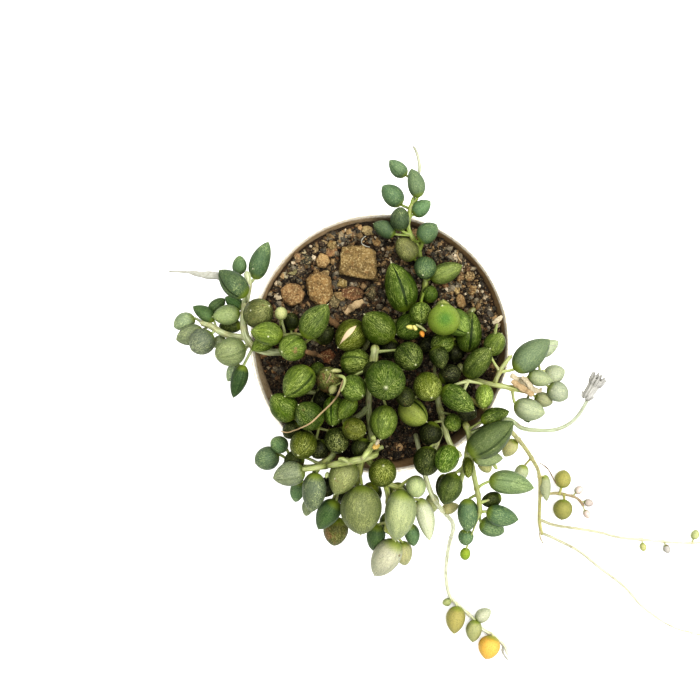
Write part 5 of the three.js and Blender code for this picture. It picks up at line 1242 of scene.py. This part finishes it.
def pearlShape(pearl, seed, marks):
    # Axis point + radius (cos a up + sin a side): the width rule, a nib at the tip, a shallow window groove
    settings = {"rows": 26, "sides": 32, "nib": 0.034, "nibReach": 1.035, "nibSoft": 0.09, "groove": 0.045,
                "grooveWidth": 0.13, "bank": 0.45, "bankAt": 0.38, "bankWidth": 0.2, "uneven": 0.024,
                "bend": 0.03, "spin": 1.2, "heartWidth": 0.62, "striped": 0.22}
    random = np.random.RandomState(seed)
    tint, window, corky, flecks = looks[pearl["look"]]
    width, length, direction = pearl["width"], pearl["length"], pearl["direction"]
    window = marks.get("window", window * random.choice([0.0, 0.3, 1.0]))
    nibReach = settings["nibReach"]
    share = np.linspace(0, 1, settings["rows"] + 2)[1:-1]
    t = nibReach * (1 - np.cos(math.pi * share)) / 2
    body = width / 2 * pearlWidth(np.clip(t, 0, 1), pearl["sharpness"])
    nib = settings["nib"] * width * np.sqrt(np.clip((nibReach - t) / settings["nibSoft"], 0, 1)) * (t > 0.85)
    radius = ((body ** 3 + nib ** 3) ** (1 / 3))[:, None]
    a = np.linspace(-math.pi, math.pi, settings["sides"], endpoint=False)[None]
    swell = np.sin(math.pi * np.clip(t, 0, 1))[:, None]
    banks = np.exp(-((np.abs(a) - settings["bankAt"]) / settings["bankWidth"]) ** 2)
    groove = np.exp(-(a / settings["grooveWidth"]) ** 2) - settings["bank"] * banks
    first, second, third = random.uniform(0, 2 * math.pi, 3)
    depth = settings["groove"] * window * marks.get("groove", 1)
    radius = radius * (1 - depth * groove * swell
                       + settings["uneven"] * swell * (np.cos(2 * a + first) + 0.6 * np.cos(3 * a + second)))
    upright = np.array([0, 0, 1]) if abs(direction[2]) < 0.97 else np.array([0, 1, 0])
    up = upright - (upright @ direction) * direction
    up = up / np.linalg.norm(up)
    side = np.cross(direction, up)
    spin = marks.get("spin", random.uniform(-settings["spin"], settings["spin"]))
    up, side = math.cos(spin) * up + math.sin(spin) * side, math.cos(spin) * side - math.sin(spin) * up
    bow = settings["bend"] * length * swell[:, 0, None] * (math.cos(third) * up + math.sin(third) * side)
    axis = pearl["centre"] + np.outer((t - 0.5) * length, direction) + bow
    rings = axis[:, None] + radius[..., None] * (np.cos(a)[..., None] * up + np.sin(a)[..., None] * side)
    ends = pearl["centre"] + np.outer([-0.5 * length, (nibReach - 0.5) * length], direction)
    points = np.vstack([rings.reshape(-1, 3), ends])
    place = np.stack(np.broadcast_arrays(np.cos(a), np.sin(a), t[:, None]), -1).reshape(-1, 3)
    tint = np.array(marks.get("tint", tint)) * pearl["shade"]
    tint = tint * random.uniform(0.82, 1.18) * random.uniform(0.94, 1.06, 3)
    many = len(points)
    tints = np.tile([*tint, stripes.get(pearl["look"], settings["striped"])], (many, 1))
    if "heart" in marks:
        # A see-through young leaf: darker green where it is thickest, towards the middle of what faces up
        reach = np.hypot(*(points - pearl["centre"])[:, :2].T) / (0.5 * width)
        heart = np.exp(-(reach / settings["heartWidth"]) ** 2)[:, None]
        tints[:, :3] *= 1 - marks["heart"] * heart * (1.15, 0.75, 0.9)
    values = [window, marks.get("corky", corky), marks.get("flecks", flecks), marks.get("scar", 0)]
    return {"points": points, **closedFaces(settings["rows"], settings["sides"]),
            "skinPlace": np.vstack([place, [0, 0, 0], [0, 0, nibReach]]), "skinTint": tints,
            "skinSeed": np.full(many, random.uniform(0, 1)), "skinMarks": np.tile(values, (many, 1))}


# Young buds laid beside the stems: leafy stem, then rows as for pearls
buds = [
    ("stem_lime", (11.2, 6.5, 1.7, 2.9, 170, 5, 0.6, "creamBud")),
    ("stem_lime", (13.6, 4.9, 1.8, 2.4, 290, 10, 0.6, "orangeBud")),
    ("stem_lime", (13.0, 6.4, 1.6, 2.2, 120, 20, 0.6, "creamBud")),
    ("stem_heap_west", (-14.6, -11.2, 1.5, 3.8, 178, 20, 0.5, "youngLeaf")),
    ("stem_south", (-11.6, -38.2, 1.6, 2.6, 120, 30, 0.6, "youngLeaf")),
    ("stem_south", (-18.4, -42.2, 1.4, 2.2, 250, 20, 0.6, "youngLeaf")),
]
pearlCount = 0
for owner, leafy in enumerate(plant):
    name, shapes = leafy["name"], []
    added = [layPearl(row, owner) for stem, row in buds if stem == name]
    for k, pearl in enumerate(leafy["laidPearls"] + added):
        pearlCount += 1
        pearl["shade"] = shades.get(name, {}).get(k, 1)
        shapes.append(pearlShape(pearl, 1000 + pearlCount, ownMarks.get(name, {}).get(k, {})))
    addPiece("pearls_of_" + name, joinShapes(shapes), pearlSkin, [name])
print("shaped", pearlCount, "pearls")


# Tint of the stems at their start and at their end, single stems that differ, and how stout they are
heapTint = (0.18, 0.20, 0.08), (0.27, 0.30, 0.13)
stalkTints = {
    "strand_east": ((0.26, 0.25, 0.07), (0.33, 0.31, 0.13)),
    "strand_south": ((0.40, 0.42, 0.26), (0.54, 0.55, 0.46)),
    "stem_south": ((0.26, 0.29, 0.09), (0.28, 0.31, 0.10)),
    "stem_west": ((0.30, 0.32, 0.19), (0.37, 0.40, 0.26)),
    "stem_east_upper": ((0.21, 0.22, 0.08), (0.34, 0.37, 0.17)),
    "stem_east_lower": ((0.23, 0.25, 0.10), (0.27, 0.31, 0.12)),
    "stem_north": ((0.17, 0.21, 0.05), (0.25, 0.31, 0.08)),
    "stem_lime": ((0.13, 0.13, 0.045), (0.18, 0.19, 0.065)),
    "stem_heap_east": ((0.20, 0.22, 0.10), (0.33, 0.35, 0.19)),
    "stem_heap_middle": ((0.27, 0.30, 0.15), (0.31, 0.34, 0.17)),
    "stem_south_west": ((0.22, 0.25, 0.09), (0.28, 0.32, 0.13)),
}
ownTints = {
    ("strand_east", 1): ((0.36, 0.34, 0.22), (0.52, 0.52, 0.45)),
    ("strand_east", 2): ((0.38, 0.37, 0.27), (0.53, 0.52, 0.45)),
    ("strand_east", 3): ((0.32, 0.30, 0.12), (0.28, 0.20, 0.15)),
    ("stem_north", 2): ((0.33, 0.36, 0.23), (0.33, 0.33, 0.28)),
    ("stem_east_lower", 3): ((0.22, 0.26, 0.11), (0.34, 0.36, 0.30)),
}
stoutness = {"stem_west": 1.75, "stem_south_west": 1.3, "stem_heap_middle": 1.3, "stem_east_upper": 1.25,
             "stem_south": 1.2}


def stemShape(stem, tints, seed, thick=1.1, thin=0.75):
    # A tube along the stem's curve, thinner towards its end, swollen where each stalk springs from it
    settings = {"spacing": 0.8, "swelling": 0.28, "jointReach": 0.9, "jointTint": (0.2, 0.5, 1.0),
                "buriedTint": (0.10, 0.07, 0.035), "buriedBelow": 1.6}
    path = curvePoints(stem["places"], settings["spacing"])
    travelled, samples = lengthsAlong(path), lengthsAlong(stem["samples"])
    share = (travelled / travelled[-1])[:, None]
    joints = np.zeros(len(path))
    for root in stem["roots"]:
        joints = np.maximum(joints, np.exp(-((travelled - samples[root]) / settings["jointReach"]) ** 2))
    radii = stem["radius"] * (thick + (thin - thick) * share[:, 0]) * (1 + settings["swelling"] * joints)
    radii = np.minimum(radii, roundedEnds(path, 1.4 * stem["radius"], 1.2 * stem["radius"]))
    colours = np.array(tints[0]) * (1 - share) + np.array(tints[1]) * share
    colours = colours * (1 - 0.25 * joints[:, None] * settings["jointTint"])
    buried = np.clip((soilSizes["level"] + settings["buriedBelow"] - path[:, 2:]) / 3, 0, 1)
    buried = buried * (np.hypot(path[:, 0], path[:, 1]) < 40)[:, None]
    colours = colours * (1 - buried) + np.array(settings["buriedTint"]) * buried
    return tubeShape(path, radii, 12, colours, seed)


def stalkShape(petiole, pearl, tint, seed):
    # A thin tube on the stalk's bent path, wider where it enters the pearl and where it leaves the stem
    settings = {"radius": 0.48, "wider": 0.34, "fullWidth": 6, "youngTint": (0.30, 0.36, 0.05)}
    t = np.linspace(0, 1, 13)[:, None]
    path = bentPath(t, petiole["base"], petiole["outward"], petiole["root"])
    thickness = min(1, pearl["width"] / settings["fullWidth"])
    radii = thickness * (settings["radius"] + settings["wider"] * (2 * t[:, 0] - 1) ** 4)
    leafTint = 0.5 * np.array(looks[pearl["look"]][0]) + 0.5 * np.array(settings["youngTint"])
    return tubeShape(path, radii, 9, leafTint * (1 - t) + np.array(tint) * t, seed)


seed = 0
for leafy in plant:
    name, shapes = leafy["name"], []
    tints, stout = stalkTints.get(name, heapTint), stoutness.get(name, 1.1)
    for k, stem in enumerate(leafy["laidStems"]):
        if (name, k) == ("stem_west", 2):
            continue  # the bleached stalk takes its place
        seed += 1
        ends = (0.8, 0.6) if k and "strand" in name else (stout, 0.72 * stout)
        shapes.append(stemShape(stem, ownTints.get((name, k), tints), seed * 0.137 % 1, *ends))
    for petiole, pearl in zip(leafy["petioles"], leafy["laidPearls"]):
        seed += 1
        shapes.append(stalkShape(petiole, pearl, tints[1], seed * 0.137 % 1))
    addPiece("stalks_of_" + name, joinShapes(shapes), stalkSkin, [name])
print("grew the stems and stalks")


def bleachedStalkShape(stem):
    # The dead end of the west stem: a thick sheath that narrows in steps, with two torn bracts beside it
    path = curvePoints(stem["places"], 0.6)
    share = np.linspace(0, 1, len(path))
    radii = np.interp(share, [0, 0.35, 0.56, 0.62, 0.70, 0.76, 1], [1.35, 1.35, 1.25, 0.95, 0.8, 0.42, 0.26])
    shapes = [tubeShape(path, radii * (1 + 0.08 * np.sin(40 * share)), 14, (0.3, 0.3, 0.25), 0.4, 0.75)]
    t = np.linspace(0, 1, 12)
    for start, end, lift, wide in ((0.46, 0.62, 0.75, 0.55), (0.2, 0.42, -0.8, 0.6)):
        at = curvePoints(stem["places"], 1, count=60)[(60 * (start + (end - start) * t)).astype(int)]
        bract = at + np.outer(np.sin(math.pi * (0.5 + 0.5 * t)) * lift + 0.2 * lift, [0, 1, 0.25])
        breadth = wide * np.sqrt(np.clip(np.sin(math.pi * (0.12 + 0.84 * t)), 0.02, 1))
        shapes.append(tubeShape(bract, breadth, 8, (0.25, 0.23, 0.18), 0.2, 0.35))
    return joinShapes(shapes)


sheath = layStem(1.0, False, [[-44, 18, 82], [-47.5, 20.8, 82.5], [-52.7, 22.4, 83], [-58.7, 22.7, 83.8],
                              [-61.5, 23.2, 84.2], [-64, 23.7, 84.5], [-70.3, 23.9, 84]], 91, [])
addPiece("bleached_stalk_west", bleachedStalkShape(sheath), finishes["pale"], ["stem_west"])

tendril = layStem(0.9, False, [[-12, -11.7], [-13.3, -15.7], [-15, -19], [-20, -23.7], [-23.3, -27],
                               [-28.3, -29], [-31, -30], [-33, -29.3]], 90, [])
tendril["radius"] = 0.34  # it was laid with room round it
tendrilTint = (0.5, 0.4, 0.2)
addPiece("dry_tendril_fibre", stemShape(tendril, (tendrilTint, tendrilTint), 0.7, 1.15, 0.6), finishes["tan"],
         ["dry_tendril"])


def spentHeadShapes(row, stem):
    # A dry flower head on its stalk: a ribbed cup, bracts round its mouth and its foot, a tuft of hairs
    settings = {"rows": 46, "sides": 66, "ribs": 11, "ribHeight": 0.07, "seed": 77, "mouthBracts": 11,
                "footBracts": 7, "hairs": 34, "lift": 2}
    planX, planY, width, length, turn, rise = row
    foot = stem["samples"][-1]
    x, y, scale = fromAbove(planX, planY, foot[2] + settings["lift"])
    ahead = directionOf(turn, rise)
    length = length * scale
    start = np.array([x, y, foot[2] + settings["lift"]]) - 0.5 * length * ahead
    side = np.cross(ahead, [0, 0, 1])
    side /= np.linalg.norm(side)
    up = np.cross(side, ahead)

    def placesOf(steps, angle):
        return [start + length * t * ahead + width * reach * (math.cos(angle) * side + math.sin(angle) * up)
                for t, reach in steps]

    random = np.random.RandomState(settings["seed"])
    profile = [(0, 0.1), (0.03, 0.27), (0.1, 0.33), (0.3, 0.36), (0.5, 0.38), (0.7, 0.41), (0.84, 0.46),
               (0.86, 0.40), (0.7, 0.34), (0.55, 0.1)]
    rows, sides = settings["rows"], settings["sides"]
    t, reach = [np.interp(np.linspace(0, 9, rows), np.arange(10), values) for values in zip(*profile)]
    axis = start + np.outer(length * t, ahead)
    a = np.linspace(0, 2 * math.pi, sides, endpoint=False)
    ribs = settings["ribHeight"] * np.cos(settings["ribs"] * a)[None] * (reach > 0.25)[:, None]
    ring = width * reach[:, None] * (1 + ribs)
    points = axis[:, None] + ring[..., None] * (np.cos(a)[:, None] * side + np.sin(a)[:, None] * up)
    along = np.linspace(0, length, rows)[:, None]
    place = np.stack(np.broadcast_arrays(np.cos(a)[None], np.sin(a)[None], along), -1)
    shapes = [{"points": np.vstack([points.reshape(-1, 3), axis[:1], axis[-1:]]), **closedFaces(rows, sides),
               "skinPlace": np.vstack([place.reshape(-1, 3), np.zeros((2, 3))]),
               **skinValues(rows * sides + 2, (0.7, 0.68, 0.6), 0.3)}]
    for k in range(settings["mouthBracts"]):
        angle = 2 * math.pi * k / settings["mouthBracts"] + random.uniform(-0.1, 0.1)
        steps = [(0.6, 0.4), (0.76, 0.45), (0.9, 0.49), (1.0, 0.53 + random.uniform(0, 0.06))]
        shapes.append(tubeShape(placesOf(steps, angle), [0.5, 0.55, 0.4, 0.08], 6, (0.66, 0.62, 0.5),
                                0.1 * k, 0.4))
    for k in range(settings["footBracts"]):
        angle = 2 * math.pi * k / settings["footBracts"] + random.uniform(-0.2, 0.2)
        steps = [(-0.02, 0.16), (0.04, 0.32), (0.14, 0.42), (0.22, 0.47)]
        shapes.append(tubeShape(placesOf(steps, angle), [0.3, 0.42, 0.3, 0.07], 6, (0.5, 0.46, 0.34),
                                0.1 * k, 0.4))
    for k in range(settings["hairs"]):
        angle, spread = random.uniform(0, 2 * math.pi), random.uniform(0.1, 0.34)
        tip = random.uniform(0.98, 1.14)
        hair = [placesOf([(t, spread * reach)], angle + 0.3 * (reach - 1))[0]
                for t, reach in ((0.55, 0.6), (0.8, 0.9), (tip, 1.15))]
        shapes.append(tubeShape(hair, [0.09, 0.08, 0.04], 5, (0.72, 0.66, 0.5), random.uniform(0, 1)))
    neck = np.linspace(foot, start + 1.4 * ahead, 8)
    return shapes + [tubeShape(neck, np.linspace(0.62, 1.0, 8), 12, (0.72, 0.71, 0.6), 0.5)]


eastStem = next(leafy for leafy in plant if leafy["name"] == "stem_east_lower")
addPiece("spent_flower_head", joinShapes(spentHeadShapes(eastStem["spentFlower"], eastStem["laidStems"][-1])),
         finishes["bloom"], ["stem_east_lower"])
print("dried the west stalk, the tendril and the flower head")

# Stubs, dry sticks, roots and hairs: points, greatest radius, flatness and finish. The points are set out as
# seen from above in steps of a third of a millimetre, x to the east and y to the south of the plan's corner;
# one without a height in millimetres rests on what lies below it.
litterPlan = {"steps": 3, "middle": (380, 343)}
litter = {
    "branch_south": ([(384, 450), (378, 453.5), (370, 456.5), (362, 459), (352, 461), (342, 463), (332, 464.8),
        (322, 466.5), (311, 468.5), (303, 469)], 1.15, 1, "green"),
    "branch_middle": ([(373, 437), (374.3, 442), (371, 448), (365.5, 455), (362, 459)], 1.1, 1, "green"),
    "knot_south": ([(373.5, 448), (376, 446), (379, 444.5)], 0.95, 0.8, "ochre"),
    "knot_bud": ([(376, 444.5), (377.8, 442), (378.6, 440)], 0.6, 1, "papery"),
    "bud_stalk": ([(426, 331), (421, 327), (416, 324.5)], 0.5, 1, "green"),
    "stub_south_west": ([(348, 461.8), (343, 459), (338.5, 459)], 0.8, 1, "green"),
    "stick_long": ([(327, 318, 70), (333, 322, 70.5), (339, 327, 71)], 1.2, 0.8, "brown"),
    "stick_west": ([(306, 351.5), (311, 353), (317, 355), (323, 357)], 0.95, 0.8, "brown"),
    "splinter": ([(345, 313), (351, 308), (357, 304), (363, 301)], 1.35, 0.4, "tan"),
    "root_hair_north": ([(366, 236), (362, 239), (361, 243), (365, 246), (370, 247)], 0.2, 1, "pale"),
    "root_hair_middle": ([(352, 296), (357, 291), (366, 294), (371, 288), (377, 290)], 0.22, 1, "brown"),
    "root_hair_east": ([(462, 262), (458, 258), (457, 252)], 0.25, 1, "tan"),
    "scar_hair": ([(326, 383), (329, 379), (331, 373)], 0.2, 1, "tan"),
    "stub_east": ([(494.5, 337, 79), (495.5, 330, 80.5), (497, 324, 82)], 0.55, 1, "green"),
    "flake_east": ([(493, 323, 82.4), (498, 320, 83.2), (502, 316, 83.4)], 0.85, 0.3, "papery"),
    "dry_leaf_east": ([(511, 375), (516, 378), (523, 383), (530, 388), (536, 391),
        (541, 390)], 1.15, 0.3, "papery"),
    "dry_leaf_fold": ([(522, 377), (527, 381), (531, 387), (533, 393)], 0.9, 0.35, "papery"),
    "dry_leaf_edge": ([(512, 381), (519, 386), (527, 391), (533, 395)], 1.1, 0.4, "tan"),
    "hair_loop": ([(548, 346, 80), (553, 345, 81), (560, 347, 82), (565, 349, 82.4), (572, 349, 82),
        (578, 352, 81.6), (584, 351, 81.4), (583, 346, 81.8), (577, 342, 82),
        (573, 346, 82.4)], 0.12, 1, "pale"),
    "hair_north": ([(412.5, 147, 81.5), (415, 145, 81.6), (420, 139, 81.4), (426, 133, 81),
        (430, 130, 80.6)], 0.14, 1, "pale"),
    "hair_south": ([(428, 533, 66), (438, 534, 65), (450, 537, 66), (461, 541, 66)], 0.12, 1, "pale"),
    "stub_heap": ([(335, 375.5), (341, 375.8), (345, 378), (344.5, 384), (341, 391)], 0.55, 1, "green"),
    "strand_hair": ([(540, 463, 30), (545, 466, 27), (549, 470, 22), (553, 478, 16),
        (556, 483, 13)], 0.25, 1, "brown"),
    "wisp_east": ([(540.5, 531, 1.8), (539.5, 536, 1.0), (543, 543, 0.6)], 0.3, 1, "papery"),
    "wisp_south": ([(498, 640, 1), (504, 646, 0.7), (502, 652, 0.7), (508, 660, 0.6)], 0.4, 1, "pale"),
}
for k, (name, (points, radius, flat, finish)) in enumerate(litter.items()):
    (middleX, middleY), steps = litterPlan["middle"], litterPlan["steps"]
    plan = [[(x - middleX) / steps, (middleY - y) / steps, *height] for x, y, *height in points]
    path = curvePoints(layStem(radius * (0.5 + 0.5 * flat), False, plan, 100 + k, [])["places"], 0.5)
    share = np.linspace(0, 1, len(path))
    radii = radius * (0.25 + 0.75 * np.sin(math.pi * (0.12 + 0.76 * share)) ** 0.6)
    rough = 0.3 if finish == "green" else 1
    radii = radii * (1 + rough * (0.14 * np.sin(17 * share + k) + 0.08 * np.sin(41 * share)))
    shape = tubeShape(path, radii, 12 if radius > 0.4 else 6, (0.25, 0.28, 0.11), 0.13 * k % 1, flat)
    addPiece(name, shape, finishes[finish])
print("scattered", len(litter), "dry bits")


def setStage():
    # A pale floor, an even white room and one large soft window overhead, a little to the east
    settings = {"floor": ((0.92, 0.92, 0.92), (0.95, 0.95, 0.95)), "floorReach": 3, "room": 0.72, "power": 24.5,
                "size": 1.5, "place": (0.3, 0.15, 1.2)}
    material, tree, shader, place = newMaterial("pale_floor", 0.9)
    tree.links.new(mixColour(tree, noiseAt(tree, place, 3.0), *settings["floor"]), shader.inputs["Base Color"])
    mesh, reach = bpy.data.meshes.new("floor"), settings["floorReach"]
    mesh.from_pydata([(-reach, -reach, 0), (reach, -reach, 0), (reach, reach, 0), (-reach, reach, 0)], [],
                     [(0, 1, 2, 3)])
    mesh.materials.append(material)
    floor = bpy.data.objects.new("floor", mesh)
    bpy.context.scene.collection.objects.link(floor)
    floor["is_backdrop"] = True
    world = bpy.data.worlds.new("white room")
    world.use_nodes = True
    background = world.node_tree.nodes["Background"].inputs
    background["Color"].default_value, background["Strength"].default_value = (1, 1, 1, 1), settings["room"]
    bpy.context.scene.world = world
    light = bpy.data.lights.new("window", "AREA")
    light.energy, light.size = settings["power"], settings["size"]
    window = bpy.data.objects.new("window", light)
    x, y, z = window.location = settings["place"]
    window.rotation_euler = (0, math.atan2(math.hypot(x, y), z), math.atan2(y, x))
    bpy.context.scene.collection.objects.link(window)


def setCamera():
    # Straight down, with the frame's width seen at the height of the rim
    settings = {"sensor": 36, "clip": (0.01, 20)}
    camera = bpy.data.cameras.new("camera")
    camera.sensor_width = settings["sensor"]
    camera.lens = settings["sensor"] * viewing["aboveRim"] / viewing["viewWidth"]
    camera.clip_start, camera.clip_end = settings["clip"]
    seen = bpy.data.objects.new("camera", camera)
    eye = (viewing["x"], viewing["y"], potSizes["height"] + viewing["aboveRim"])
    seen.location = [metre * value for value in eye]
    bpy.context.scene.collection.objects.link(seen)
    bpy.context.scene.camera = seen


setStage()
setCamera()
bpy.context.scene.view_settings.view_transform = "Standard"
bpy.context.scene.view_settings.look = "High Contrast"
sizes = {"cad": [list(corner) for corner in cadBox], "visual": [list(corner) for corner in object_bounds()]}
print("set the stage; the box is", sizes)
